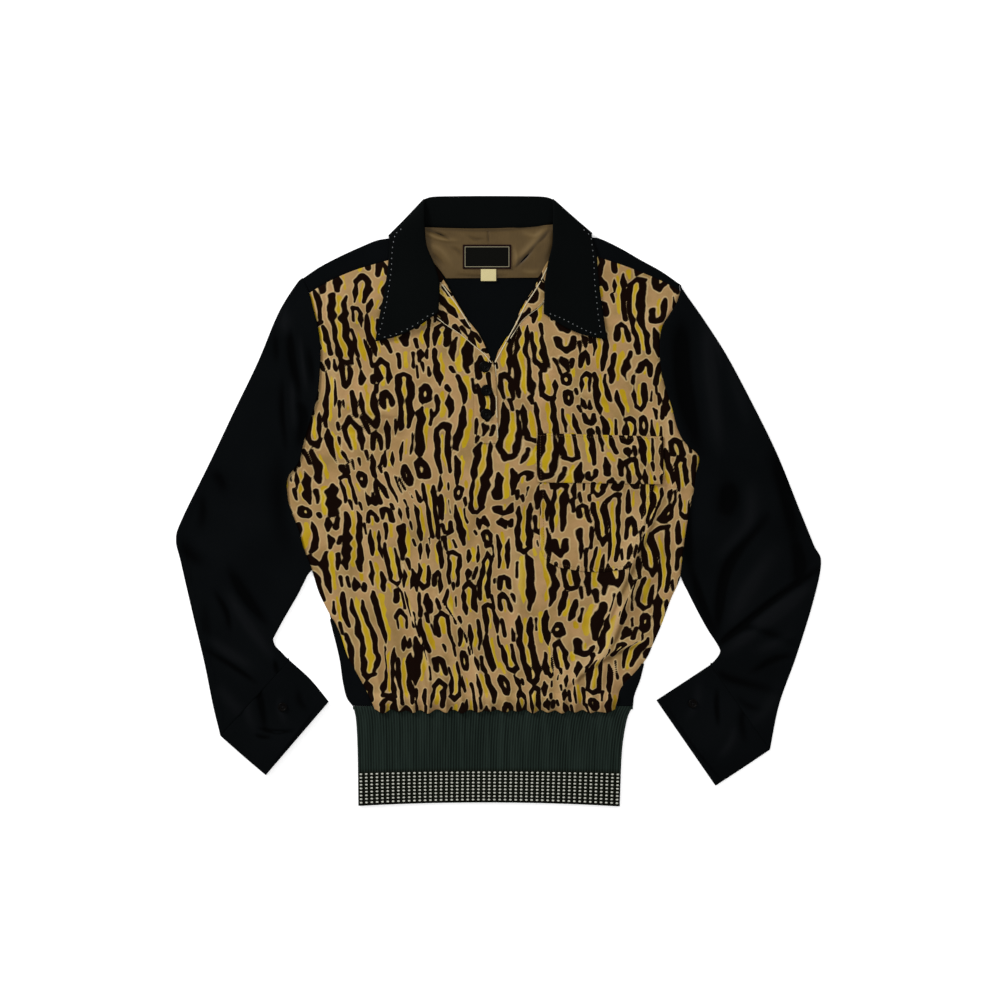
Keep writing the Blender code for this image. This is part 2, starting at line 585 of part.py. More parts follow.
def front_half(gathers, side_points, top, v_edge):
    """Grid of one half of the front, from the waist to its top edge and from its side to the centre."""
    columns = front_columns(gathers, side_points[0, 0], WAIST_CENTRE_X)
    edge_x, end_x = columns[0][0], columns[-1][0]
    shares = np.array([(c[0] - edge_x) / (end_x - edge_x) for c in columns])
    even = np.linspace(0.0, 1.0, len(columns))
    rows = len(side_points)
    low_rows = rows - (PRINT_TOP_ROW - V_ROW)
    centre_y = np.interp(np.arange(low_rows), CENTRE_ROWS, CENTRE_YS)
    rise_to_v = np.linspace(0.0, 1.0, low_rows)
    centre = np.stack([WAIST_CENTRE_X + (V_BOTTOM[0] - WAIST_CENTRE_X) * rise_to_v, centre_y], axis=-1)
    centre = np.vstack([centre, along(v_edge, np.linspace(0, 1, rows - low_rows + 1)[1:])])
    up = np.clip((side_points[:, 1] - WAIST_Y) / 260.0, 0.0, 1.0)[:, None]
    mix = shares + (even - shares) * up
    x = side_points[:, :1] + (centre[:, :1] - side_points[:, :1]) * mix
    y = side_points[:, 1:] + (centre[:, 1:] - side_points[:, 1:]) * mix
    bend = np.clip((np.arange(rows) - low_rows + 1) / (rows - low_rows), 0.0, 1.0)[:, None] ** 2
    straight = top[0][1] + (top[-1][1] - top[0][1]) * mix
    y += bend * (top_edge(top, mix) - straight)
    lobes = np.array([max(c[1], 0.0) for c in columns])
    y[0] -= 1.0 + lobes * 2.0
    return x, y, np.array([c[1] for c in columns]), np.array([c[2] for c in columns])


def top_edge(top, shares):
    dense = spline(top)
    order = np.argsort(dense[:, 0])
    x = top[0][0] + (top[-1][0] - top[0][0]) * shares
    return np.interp(x, dense[order, 0], dense[order, 1])


def front():
    """The printed front, one piece that parts at the V."""
    left_side = print_side(PRINT_EDGE_LEFT, SIDE_LEFT, ARMHOLE_LEFT)
    right_side = print_side(PRINT_EDGE_RIGHT, SIDE_RIGHT, ARMHOLE_RIGHT)
    halves = (
        front_half(GATHERS_LEFT, left_side, PRINT_TOP_LEFT, V_LEFT),
        front_half(GATHERS_RIGHT[::-1], right_side, PRINT_TOP_RIGHT, V_RIGHT),
    )
    shape = halves[0][0].shape
    index_left = np.arange(shape[0] * shape[1]).reshape(shape)
    index_right = index_left + index_left.size
    joined = shape[0] - (PRINT_TOP_ROW - V_ROW)
    index_right[:joined, -1] = index_left[:joined, -1]
    upper, lower = [], []
    for x, y, rise, length in halves:
        high = front_height(x, y, rise, length)
        low = np.clip(high - PRINT_WALL, FRONT_Z, None)
        low = np.where(y < WAIST_Y + 20.0, low, np.minimum(low, BLACK_WALL + HOLLOW))
        upper.append(np.stack([x, y, high], axis=-1).reshape(-1, 3))
        lower.append(np.stack([x, y, low], axis=-1).reshape(-1, 3))
    quads = np.vstack([grid_quads(index_left), grid_quads(index_right)[:, ::-1]])
    return keep_used("front", np.vstack(upper), np.vstack(lower), quads, "print")


def keep_used(name, upper, lower, quads, colour):
    """Shell of the points that the faces use."""
    used, flat = np.unique(quads, return_inverse=True)
    return faces_outward(shell(name, upper[used], lower[used], flat.reshape(quads.shape), colour))


# Back

def patch(left, right, bottom, top):
    """Grid filled in between four edges: the two sides run up, the other two run across."""
    u = np.linspace(0.0, 1.0, len(bottom))[None, :, None]
    v = np.linspace(0.0, 1.0, len(left))[:, None, None]
    sides = (1 - u) * left[:, None] + u * right[:, None]
    ends = (1 - v) * bottom[None] + v * top[None]
    corners = (1 - v) * ((1 - u) * bottom[0] + u * bottom[-1]) + v * ((1 - u) * top[0] + u * top[-1])
    return sides + ends - corners


def back():
    """Flat sheet under the whole body. At the lower corners it folds round the side and on to the front."""
    tops = []
    for table in (SHOULDER_LEFT, SHOULDER_RIGHT):
        fold = np.array([row[:2] for row in table])
        seam = np.array([row[3:] for row in table])
        tops.append(seam + unit(seam - fold) * 2 * SEAM_GAP)
    top = np.vstack([tops[0], BACK_NECK, tops[1][::-1]])
    left = np.array(SIDE_LEFT + [ARMHOLE_LEFT[k] for k in BACK_ARMHOLE_ROWS] + [tuple(top[0])])
    right = np.array(SIDE_RIGHT + [ARMHOLE_RIGHT[k] for k in BACK_ARMHOLE_ROWS] + [tuple(top[-1])])
    rows = len(left)
    grid = patch(left, right, np.linspace(left[0], right[0], len(top)), top)
    points, normals = [], []
    index = np.full((rows, len(top) + 2 * WRAP_COLUMNS), -1)
    for r in range(rows):
        for side, print_edge in ((-1, PRINT_EDGE_LEFT), (1, PRINT_EDGE_RIGHT)):
            column = 0 if side < 0 else -1
            edge, y = grid[r, column]
            inner = x_at(print_edge, y) + side * CURVE_GAP
            if y < print_edge[-1][1] and abs(inner - edge) > 3.0:
                grid[r, column, 0] = edge - side * FOLD_RADIUS
                for k, (px, pz, nx, nz) in enumerate(turned_edge(edge, inner, side)):
                    index[r, WRAP_COLUMNS - 1 - k if side < 0 else WRAP_COLUMNS + len(top) + k] = len(points)
                    points.append((px, y, pz))
                    normals.append((nx, 0.0, nz))
        index[r, WRAP_COLUMNS:WRAP_COLUMNS + len(top)] = np.arange(len(top)) + len(points)
        for x, y in grid[r]:
            points.append((x, y, PLY_Z + float(neck_lift(x, y))))
            normals.append((0.0, 0.0, -1.0))
    points, normals = np.array(points), np.array(normals)
    quads = grid_quads(index)
    quads = quads[(quads >= 0).all(axis=1)]
    outside = points + normals * BLACK_WALL / 2
    inside = points - normals * BLACK_WALL / 2
    return keep_used("back", outside, inside, quads[:, ::-1], "black")


def turned_edge(edge, inner, side):
    """Middle points and outward directions of the cloth from the fold at the side to its end on the front."""
    centre = edge - side * FOLD_RADIUS
    made = []
    for degrees in (-45, 0, 45, 90):
        a = math.radians(degrees)
        nx, nz = side * math.cos(a), math.sin(a)
        made.append((centre + FOLD_RADIUS * nx, PLY_Z + FOLD_RADIUS + FOLD_RADIUS * nz, nx, nz))
    top = PLY_Z + 2 * FOLD_RADIUS
    made.append(((centre + inner) / 2, top + 0.2, 0.0, 1.0))
    made.append((inner, top, 0.0, 1.0))
    return made


# Shoulders

def shoulder(name, table, print_top):
    """Strip folded over the shoulder: its lower ply meets the back and its upper ply meets the print."""
    front_edge = along(print_top, np.linspace(0.004, 0.985, len(table)))
    radius = SHOULDER_PLIES / 2
    stations = []
    for (fx, fy, fz, bx, by), (px, py) in zip(table, front_edge):
        fold, behind, end = np.array([fx, fy]), np.array([bx, by]), np.array([px, py])
        down = unit(end - fold)
        end = end - down * CURVE_GAP
        turn = fold + down * radius
        path = [(*behind, fz), (*turn, fz)]
        for degrees in (-45, 0, 45):
            a = math.radians(degrees)
            path.append((*(turn - down * radius * math.cos(a)), fz + radius + radius * math.sin(a)))
        top = fz + SHOULDER_PLIES
        end_z = FRONT_Z + PRINT_WALL - BLACK_WALL / 2 + float(upper_lift(*end))
        for share in (0.0, 0.33, 0.67, 1.0):
            path.append((*(turn + (end - turn) * share), top + (end_z - top) * share))
        stations.append(path)
    return faces_outward(thick_strip(name, np.array(stations), BLACK_WALL, "black"))


# Collar

def collar():
    """Strip folded along the roll line: on the front it lies face up, and it turns at each side of the neck
    to lie face down under the back."""
    stations = []
    for row in COLLAR:
        seam, roll, outer = (np.array(row[k:k + 3]) for k in (0, 3, 6))
        facing = math.radians(row[9])
        away = unit(np.array([*(outer - roll)[:2], 0.0]))
        side = np.array([away[1], -away[0], 0.0])
        if roll[0] < NECK_CENTRE_X:
            side = -side
        normal = math.cos(facing) * -side + math.sin(facing) * np.array([0.0, 0.0, 1.0])
        inside = roll - normal * COLLAR_ROLL
        outside = roll + normal * COLLAR_ROLL
        path = [seam, seam + (inside - seam) * 0.5, inside]
        for degrees in (-45, 0, 45):
            a = math.radians(degrees)
            path.append(roll - away * COLLAR_ROLL * math.cos(a) + normal * COLLAR_ROLL * math.sin(a))
        path.append(outside)
        path += [outside + (outer - outside) * share for share in (0.2, 0.45, 0.72, 1.0)]
        stations.append(path)
    middle = spline_grid(np.array(stations))
    return faces_outward(thick_strip("collar", middle, BLACK_WALL, "collar"))


def spline_grid(grid):
    """Adds a station halfway between every two."""
    flat = spline(grid.reshape(grid.shape[0], -1), 2)
    return flat.reshape(-1, *grid.shape[1:])


# What lies on top

def height_under(pieces, x, y, reach):
    """Highest point of these pieces within reach of each place."""
    trees = []
    for piece in pieces:
        mesh = piece.data
        faces = [p.vertices for p in mesh.polygons]
        trees.append(BVHTree.FromPolygons([v.co for v in mesh.vertices], faces))
    turns = np.arange(8) * math.pi / 4
    offsets = [(0.0, 0.0)] + [(reach * math.cos(a), reach * math.sin(a)) for a in turns]
    high = np.zeros_like(x)
    for i, j in np.ndindex(x.shape):
        for dx, dy in offsets:
            start = Vector(((x[i, j] + dx) * MM, (y[i, j] + dy) * MM, 0.1))
            for tree in trees:
                hit = tree.ray_cast(start, Vector((0, 0, -1)))[0]
                if hit is not None:
                    high[i, j] = max(high[i, j], hit.z / MM)
    return high


def between(left, right, columns, sag=0.0):
    """Grid between two lines of as many points, with its last row bowed down by the sag."""
    left, right = np.array(left), np.array(right)
    u = np.linspace(0.0, 1.0, columns)[None, :, None]
    grid = left[:, None] * (1 - u) + right[:, None] * u
    grid[-1, :, 1] -= sag * np.sin(np.pi * u[0, :, 0])
    return grid[..., 0], grid[..., 1]


def overlay(name, outline, columns, rests_on, reach, colour, wall=TRIM_WALL, sag=0.0, clearance=SEAM_GAP):
    """Flat piece that lies on others and follows them."""
    x, y = between(*outline, columns, sag)
    low = height_under(rests_on, x, y, reach) + clearance
    return faces_outward(slab(name, x, y, low, low + wall, colour))


def lines(outline, rows):
    shares = np.linspace(0.0, 1.0, rows)
    first, second = outline
    return along(first, shares), along(second, shares)


def rectangle(place, rows):
    (x0, x1), (y0, y1) = place["x"], place["y"]
    y = np.linspace(y0, y1, rows)
    return np.stack([np.full(rows, x0), y], axis=-1), np.stack([np.full(rows, x1), y], axis=-1)


def button(name, x, y, radius, rests_on):
    """Turned disc with a raised rim and a sunk middle."""
    place = np.full((1, 1), x), np.full((1, 1), y)
    low = height_under(rests_on, *place, radius)[0, 0] + SEAM_GAP
    angles = np.arange(BUTTON_SIDES) * 2 * math.pi / BUTTON_SIDES
    points = [(x, y, low + BUTTON_PROFILE[0][1]), (x, y, low + BUTTON_PROFILE[-1][1])]
    rings = []
    for share, height in BUTTON_PROFILE[1:-1]:
        rings.append(np.arange(BUTTON_SIDES) + len(points))
        wide = share * radius
        points += [(x + wide * math.cos(a), y + wide * math.sin(a), low + height) for a in angles]
    faces = [(0, rings[0][i - 1], rings[0][i]) for i in range(BUTTON_SIDES)]
    for first, second in zip(rings, rings[1:]):
        faces += ring_faces(first, second)
    faces += [(1, rings[-1][i], rings[-1][i - 1]) for i in range(BUTTON_SIDES)]
    return faces_outward(solid(name, points, faces, "button"))


# Waistband

def zip_faces(first, second, first_x, second_x):
    """Triangles between two lines of points, stepping along whichever lies further back."""
    i = j = 0
    faces = []
    while i + 1 < len(first) or j + 1 < len(second):
        if j + 1 == len(second) or (i + 1 < len(first) and first_x[i + 1] <= second_x[j + 1]):
            faces.append((first[i], first[i + 1], second[j]))
            i += 1
        else:
            faces.append((first[i], second[j + 1], second[j]))
            j += 1
    return faces


def waistband():
    """Rib tube pressed flat: the ribs stand on the upper face, over a plain inside."""
    columns = 2 * RIB_COUNT + 1
    ribs = np.linspace(0.0, 1.0, columns)
    plain = np.linspace(0.0, 1.0, 12)
    wall = WAISTBAND_WALL
    middle_z = WAISTBAND_HEIGHT / 2
    outer_rows, inner_rows = [], []
    for left_y, middle_y, right_y, left_x, right_x in WAISTBAND:
        def ring(share, z, inset):
            x = left_x + inset + (right_x - left_x - 2 * inset) * share
            bow = 1.0 - (2.0 * share - 1.0) ** 2
            y = left_y + (right_y - left_y) * share + (middle_y - (left_y + right_y) / 2) * bow
            return np.stack([x, y, z], axis=-1)
        relief = WAISTBAND_HEIGHT + RIB_DEPTH * (np.arange(columns) % 2)
        relief[[0, -1]] = WAISTBAND_HEIGHT - 0.4
        one = np.ones(1)
        outer_rows.append(np.vstack([
            ring(0.0 * one, middle_z * one, 0.0),
            ring(ribs, relief, 1.2),
            ring(one, middle_z * one, 0.0),
            ring(plain[::-1], 0.0 * plain, 1.2),
        ]))
        inner_rows.append(np.vstack([
            ring(0.0 * one, middle_z * one, wall),
            ring(plain, 0.0 * plain + WAISTBAND_HEIGHT - wall, wall + 0.8),
            ring(one, middle_z * one, wall),
            ring(plain[::-1], 0.0 * plain + wall, wall + 0.8),
        ]))
    outer, inner = np.array(outer_rows), np.array(inner_rows)
    stations, outer_count, inner_count = len(outer), outer.shape[1], inner.shape[1]
    outside = np.arange(stations * outer_count).reshape(stations, outer_count)
    inside = np.arange(stations * inner_count).reshape(stations, inner_count) + outside.size
    faces = []
    for s in range(stations - 1):
        faces += ring_faces(outside[s], outside[s + 1])
        faces += ring_faces(inside[s + 1], inside[s])
    top_out, top_in = columns + 2, len(plain) + 2
    for s, flip in ((0, False), (stations - 1, True)):
        for cut_out, cut_in in (
            (np.arange(top_out), np.arange(top_in)),
            (np.r_[top_out - 1:outer_count, 0], np.r_[top_in - 1:inner_count, 0]),
        ):
            first, second = outside[s][cut_out], inside[s][cut_in]
            way = 1.0 if cut_out[0] == 0 else -1.0
            made = zip_faces(first, second, way * outer[s][cut_out, 0], way * inner[s][cut_in, 0])
            faces += [f[::-1] for f in made] if flip else made
    points = np.vstack([outer.reshape(-1, 3), inner.reshape(-1, 3)])
    return faces_outward(solid("waistband", points, faces, "rib"))


def build():
    clear_scene()
    back_piece = back()
    front_piece = front()
    shoulder("yoke_left", SHOULDER_LEFT, PRINT_TOP_LEFT)
    shoulder("yoke_right", SHOULDER_RIGHT, PRINT_TOP_RIGHT)
    sleeve("sleeve_left", SLEEVE_LEFT, ARMHOLE_LEFT, -1, SLEEVE_FOLDS_LEFT)
    sleeve("sleeve_right", SLEEVE_RIGHT, ARMHOLE_RIGHT, 1, SLEEVE_FOLDS_RIGHT)
    shares = np.linspace(0.0, 1.0, 8)
    cuffs = []
    for name, rows in (("cuff_left", CUFF_LEFT), ("cuff_right", CUFF_RIGHT)):
        cuffs.append(flat_tube(name, rows, None, CUFF_EDGE_HEIGHT, CUFF_CROWN, CUFF_FOLDS, shares[1:-1],
                               shares[2:-1:2]))
    waistband()
    collar()
    facing = overlay("neck_facing", lines((FACING_LEFT, FACING_RIGHT), 8), 12, [back_piece], 5.0, "facing")
    overlay("label", rectangle(LABEL, 4), 7, [facing], 4.0, "label")
    overlay("size_tab", rectangle(SIZE_TAB, 3), 3, [back_piece, facing], 5.0, "tab")
    for name, outline in (("lapel_left", LAPEL_LEFT), ("lapel_right", LAPEL_RIGHT)):
        overlay(name, lines((outline["outer"], outline["inner"]), 12), 4, [front_piece], 5.0, "print")
    placket_lines = lines((PLACKET["left"], PLACKET["right"]), 10)
    placket = overlay("placket", placket_lines, 4, [front_piece], 5.0, "print")
    pocket_lines = lines((POCKET["left"], POCKET["right"]), 9)
    pocket = overlay("pocket", pocket_lines, 9, [front_piece], 9.0, "print", sag=POCKET_SAG)
    flap_lines = lines((FLAP["left"], FLAP["right"]), 6)
    overlay("pocket_flap", flap_lines, 9, [front_piece, pocket], 9.0, "print", clearance=2 * SEAM_GAP)
    for name, x, y in BUTTONS:
        button(name, x, y, BUTTON_RADIUS, [placket])
    for (name, x, y), cuff in zip(CUFF_BUTTONS, cuffs):
        button(name, x, y, CUFF_BUTTON_RADIUS, [cuff])


build()
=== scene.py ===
# A gaucho shirt laid flat and face up: printed front, black sleeves and collar, rib waistband.
# Every table is in millimetres: x across the shirt, y from the hem to the neck, z up from the floor.
import math

import bpy
import bmesh
import numpy as np
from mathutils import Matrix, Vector
from mathutils.bvhtree import BVHTree


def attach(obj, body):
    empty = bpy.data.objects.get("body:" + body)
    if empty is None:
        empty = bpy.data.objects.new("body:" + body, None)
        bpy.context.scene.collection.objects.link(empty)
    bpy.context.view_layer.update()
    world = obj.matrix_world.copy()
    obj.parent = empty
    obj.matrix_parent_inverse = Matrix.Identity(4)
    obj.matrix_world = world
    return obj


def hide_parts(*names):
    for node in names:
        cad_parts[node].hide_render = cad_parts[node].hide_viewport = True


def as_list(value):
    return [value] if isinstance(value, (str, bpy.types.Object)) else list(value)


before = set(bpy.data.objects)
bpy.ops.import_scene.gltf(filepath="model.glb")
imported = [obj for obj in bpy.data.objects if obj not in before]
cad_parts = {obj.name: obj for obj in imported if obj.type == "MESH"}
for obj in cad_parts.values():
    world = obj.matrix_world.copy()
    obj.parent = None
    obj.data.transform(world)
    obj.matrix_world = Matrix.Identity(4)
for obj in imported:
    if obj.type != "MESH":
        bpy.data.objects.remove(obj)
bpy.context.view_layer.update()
mm = 0.001
waistSeam = -246.0  # y of the seam between the front and the waistband
floorGap = 0.62  # the middle of the back's wall over the floor
rimRound = 0.38  # how far a shell's rim stands out, as a share of its wall
print("frame loaded")

# Outlines that the panels share along their seams, as in the solids but for the upper end of printEdgeLeft
cut = {
    "sideLeft": [
        (-174.6, -245.5), (-181.8, -235.2), (-186.6, -214.8), (-190.2, -189.6), (-198.0, -157.2),
        (-205.8, -128.4), (-215.4, -108.0), (-223.3, -82.8),
    ],
    "sideRight": [
        (161.0, -245.5), (162.6, -232.8), (169.6, -214.0), (176.0, -190.0), (185.0, -171.0),
        (195.0, -148.0), (206.0, -118.0), (217.8, -90.0),
    ],
    "armholeLeft": [
        (-223.3, -82.8), (-233.4, -56.4), (-239.4, -34.8), (-248.5, -12.0), (-252.6, 4.0), (-252.6, 27.6),
        (-239.4, 46.8), (-232.2, 75.6), (-223.8, 102.0), (-216.5, 130.0), (-213.7, 163.0), (-213.4, 178.0),
        (-214.2, 194.0), (-216.0, 207.0), (-219.0, 220.0), (-223.0, 235.0), (-226.7, 249.0), (-234.6, 267.6),
    ],
    "armholeRight": [
        (217.8, -90.0), (222.6, -50.4), (227.0, -22.0), (233.4, 8.4), (237.0, 34.0), (239.9, 53.5),
        (222.6, 70.8), (214.0, 88.0), (207.5, 113.0), (198.6, 140.4), (194.0, 165.0), (193.2, 182.0),
        (193.8, 198.0), (197.0, 211.0), (204.5, 223.0), (212.6, 236.0), (217.8, 251.5), (216.3, 261.0),
    ],
    "printEdgeLeft": [
        (-146.0, -256.0), (-149.0, -246.0), (-161.4, -220.8), (-177.0, -193.2), (-185.4, -178.0),
        (-190.2, -158.4), (-199.8, -138.0),
    ],
    "printEdgeRight": [
        (136.0, -256.0), (141.0, -243.0), (147.0, -222.6), (162.6, -207.0), (174.2, -191.4),
    ],
    "printTopLeft": [(-226.7, 249.0), (-201.0, 264.0), (-169.8, 277.2), (-132.6, 288.0), (-92.0, 300.0)],
    "printTopRight": [(217.8, 251.5), (194.4, 264.0), (155.4, 280.0), (118.9, 292.0), (79.0, 305.0)],
    "vLeft": [
        (-5.0, 163.8), (-10.2, 171.6), (-13.8, 180.0), (-18.6, 191.4), (-25.8, 202.8), (-39.0, 219.6),
        (-52.2, 241.2), (-63.0, 260.4), (-72.6, 277.2), (-92.0, 300.0),
    ],
    "vRight": [
        (-5.0, 163.8), (-2.3, 171.6), (0.6, 180.0), (5.4, 187.8), (10.2, 195.6), (18.0, 203.4), (22.2, 217.2),
        (30.6, 236.4), (42.6, 254.4), (59.4, 286.8), (79.0, 305.0),
    ],
}


# Curves and fields

def ease(value):
    t = np.clip(value, 0.0, 1.0)
    return t * t * (3.0 - 2.0 * t)


def spline(points, steps=8):
    # Catmull-Rom: between b and c the curve leaves along c - a and arrives along d - b
    p = np.asarray(points, float)
    p = np.vstack([2 * p[0] - p[1], p, 2 * p[-1] - p[-2]])
    t = np.linspace(0.0, 1.0, steps, endpoint=False)[:, None]
    spans = []
    for a, b, c, d in zip(p[:-3], p[1:-2], p[2:-1], p[3:]):
        bend = (2 * a - 5 * b + 4 * c - d) * t**2 + (3 * b - a - 3 * c + d) * t**3
        spans.append(0.5 * (2 * b + (c - a) * t + bend))
    return np.vstack(spans + [p[-2:-1]])


def lineLength(points):
    return np.concatenate([[0.0], np.cumsum(np.linalg.norm(np.diff(points, axis=0), axis=1))])


def along(points, shares):
    dense = spline(points, 16)
    length = lineLength(dense)
    return np.stack([np.interp(np.asarray(shares) * length[-1], length, c) for c in dense.T], axis=-1)


def xAt(points, y):
    dense = spline(points)
    order = np.argsort(dense[:, 1])
    return np.interp(y, dense[order, 1], dense[order, 0])


def unit(vectors):
    return vectors / np.maximum(np.linalg.norm(vectors, axis=-1, keepdims=True), 1e-9)


def distanceTo(x, y, path):
    # distance to a line of straight runs, the side of it (1 on its left) and the share of the way along
    best = np.full(x.shape, 1e9)
    side, share = np.ones(x.shape), np.zeros(x.shape)
    for k, ((ax, ay), (bx, by)) in enumerate(zip(path[:-1], path[1:])):
        dx, dy = bx - ax, by - ay
        t = np.clip(((x - ax) * dx + (y - ay) * dy) / (dx * dx + dy * dy + 1e-9), 0.0, 1.0)
        gap = np.hypot(x - ax - t * dx, y - ay - t * dy)
        near = gap < best
        best = np.where(near, gap, best)
        share = np.where(near, (k + t) / (len(path) - 1), share)
        side = np.where(near, np.sign(dx * (y - ay) - dy * (x - ax)), side)
    return best, side, share


def folds(x, y, table):
    # sum of soft ridges and troughs: a bell across, as wide on each side as the row says, fading at its ends
    total = np.zeros(x.shape)
    for x0, y0, x1, y1, x2, y2, widthLeft, widthRight, height in table:
        reach = 3.0 * max(widthLeft, widthRight)
        here = (x > min(x0, x1, x2) - reach) & (x < max(x0, x1, x2) + reach)
        here &= (y > min(y0, y1, y2) - reach) & (y < max(y0, y1, y2) + reach)
        if here.any():
            path = spline([(x0, y0), (x1, y1), (x2, y2)], 6)
            gap, side, share = distanceTo(x[here], y[here], path)
            width = np.where(side > 0, widthLeft, widthRight)
            total[here] += height * np.exp(-(gap / width) ** 2) * np.sin(np.pi * (0.04 + 0.92 * share)) ** 0.8
    return total


def ripple(x, y, size, seed):
    # smooth noise about as coarse as size: seven sine waves in chance directions, added
    rng = np.random.default_rng(seed)
    total = np.zeros(np.shape(x))
    for angle, phase, pitch in rng.uniform((0, 0, 0.6), (6.283, 6.283, 1.5), (7, 3)):
        total += np.sin((x * np.cos(angle) + y * np.sin(angle)) * 3.1416 / (size * pitch) + phase)
    return total / 2.6


def neckLift(x, y):
    up = ease((y - 252.0) / 38.0)
    return 1.6 * up * ease((150.0 - np.abs(x + 10.0)) / 28.0)


# Meshes

def meshPiece(name, points, quads, material, node=None, tris=None, smooth=True):
    # points in millimetres, none under the floor; quads and tris are arrays of point numbers
    points = np.maximum(points, (-1e4, -1e4, 0.0))
    faces = [np.asarray(quads).reshape(-1, 4)] if quads is not None else []
    loops = [f.ravel() for f in faces]
    sizes = [np.full(len(f), 4) for f in faces]
    if tris is not None and len(tris):
        loops.append(np.asarray(tris).ravel())
        sizes.append(np.full(len(tris), 3))
    loops, sizes = np.concatenate(loops), np.concatenate(sizes)
    mesh = bpy.data.meshes.new(name)
    mesh.vertices.add(len(points))
    mesh.vertices.foreach_set("co", (np.asarray(points, float) * mm).astype(np.float32).ravel())
    mesh.loops.add(len(loops))
    mesh.loops.foreach_set("vertex_index", loops.astype(np.int32))
    mesh.polygons.add(len(sizes))
    mesh.polygons.foreach_set("loop_start", (np.cumsum(sizes) - sizes).astype(np.int32))
    mesh.polygons.foreach_set("loop_total", sizes.astype(np.int32))
    mesh.update(calc_edges=True)
    mesh.validate()
    if smooth:
        mesh.shade_smooth()
    mesh.materials.append(material)
    piece = bpy.data.objects.new(name, mesh)
    bpy.context.collection.objects.link(piece)
    if node:
        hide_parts(node)
    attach(piece, "root")
    return piece


def placesOf(piece):
    # x and y of every point, in millimetres
    place = np.zeros(len(piece.data.vertices) * 3)
    piece.data.vertices.foreach_get("co", place)
    return place.reshape(-1, 3)[:, 0] / mm, place.reshape(-1, 3)[:, 1] / mm


def setField(piece, name, values):
    # one number at every point, for the materials
    piece.data.attributes.new(name, "FLOAT", "POINT").data.foreach_set("value", values.astype(np.float32))


# painted shading of folds: the offset towards the light, the weights of the folds' height and slope, the painted dark
# line at the waist seam and how far up it reaches, and the limits without and with gathers
foldShadingKit = {
    "light": (-1.9, 1.7), "height": 0.3, "slope": 1.3, "seamShade": 0.9, "seamReach": 4.0, "limits": (1.0, 1.2),
}


def addFoldShading(piece, table, gathers=None):
    # painted shading for the materials: the folds' height and, for gathered cloth, its fall away from the light, with
    # a painted dark line of shade at the waist seam
    kit = foldShadingKit
    x, y = placesOf(piece)
    value = folds(x, y, table) + 0.1 * ripple(x, y, 45.0, 91)
    limit = kit["limits"][bool(gathers)]
    if gathers:
        lit = x + kit["light"][0], y + kit["light"][1]
        value = kit["height"] * value + kit["slope"] * (value - folds(*lit, table)) + gathers(x, y) - gathers(*lit)
        value = value - kit["seamShade"] * np.exp(-np.maximum(y - waistSeam, 0.0) / kit["seamReach"])
    setField(piece, "paintedFoldShade", np.clip(value, -limit, limit))
    return piece


def outward(piece):
    # turns a closed piece's faces outwards
    work = bmesh.new()
    work.from_mesh(piece.data)
    bmesh.ops.recalc_face_normals(work, faces=work.faces)
    work.to_mesh(piece.data)
    work.free()
    return piece


def numbered(rows, columns, closed=False):
    # the point numbers of a grid, its first column again at the end where the rows close on themselves
    index = np.arange(rows * columns).reshape(rows, columns)
    return np.concatenate([index, index[:, :1]], axis=1) if closed else index


def indexQuads(index):
    return np.stack([index[:-1, :-1], index[:-1, 1:], index[1:, 1:], index[1:, :-1]], axis=-1).reshape(-1, 4)


def gridQuads(rows, columns):
    return indexQuads(numbered(rows, columns))


def leftOf(ways):
    return np.stack([-ways[:, 1], ways[:, 0]], axis=-1)


def halfTurn(most, pitch=15):
    # angles from straight down to straight up, or nearly
    return [math.radians(degrees) for degrees in range(-most, most + 1, pitch)]


def upward(points, quads):
    # quads turned so that most face up
    a, b, c = (points[quads[:, k]] for k in (0, 1, 2))
    turn = (b[:, 0] - a[:, 0]) * (c[:, 1] - a[:, 1]) - (b[:, 1] - a[:, 1]) * (c[:, 0] - a[:, 0])
    return quads if np.median(turn) > 0 else quads[:, ::-1]


def rimmed(points, quads, wall, tuck=3.0):
    # the free edges of a sheet rolled over and turned under: each step goes out or in, then down
    sides = np.concatenate([quads[:, [k, (k + 1) % 4]] for k in range(4)])
    key = np.sort(sides, axis=1)
    _, first, count = np.unique(key[:, 0] * len(points) + key[:, 1], return_index=True, return_counts=True)
    edge = sides[first[count == 1]]
    way = unit(points[edge[:, 1], :2] - points[edge[:, 0], :2])
    square = np.stack([way[:, 1], -way[:, 0]], axis=-1)
    out = np.zeros((len(points), 2))
    np.add.at(out, edge[:, 0], square)
    np.add.at(out, edge[:, 1], square)
    rim = np.unique(edge)
    place = np.full(len(points), -1)
    place[rim] = np.arange(len(rim))
    direction = unit(out[rim])
    layers, faces, before = [points], [quads], edge
    steps = ((0.28 * wall, 0.12 * wall), (0.42 * wall, 0.5 * wall), (0.28 * wall, 0.88 * wall), (-tuck, wall))
    for k, (reach, down) in enumerate(steps):
        ring = points[rim].copy()
        ring[:, :2] += direction * reach
        ring[:, 2] -= down
        layers.append(ring)
        after = place[edge] + len(points) + k * len(rim)
        faces.append(np.stack([before[:, 1], before[:, 0], after[:, 0], after[:, 1]], axis=-1))
        before = after
    return np.vstack(layers), np.vstack(faces)


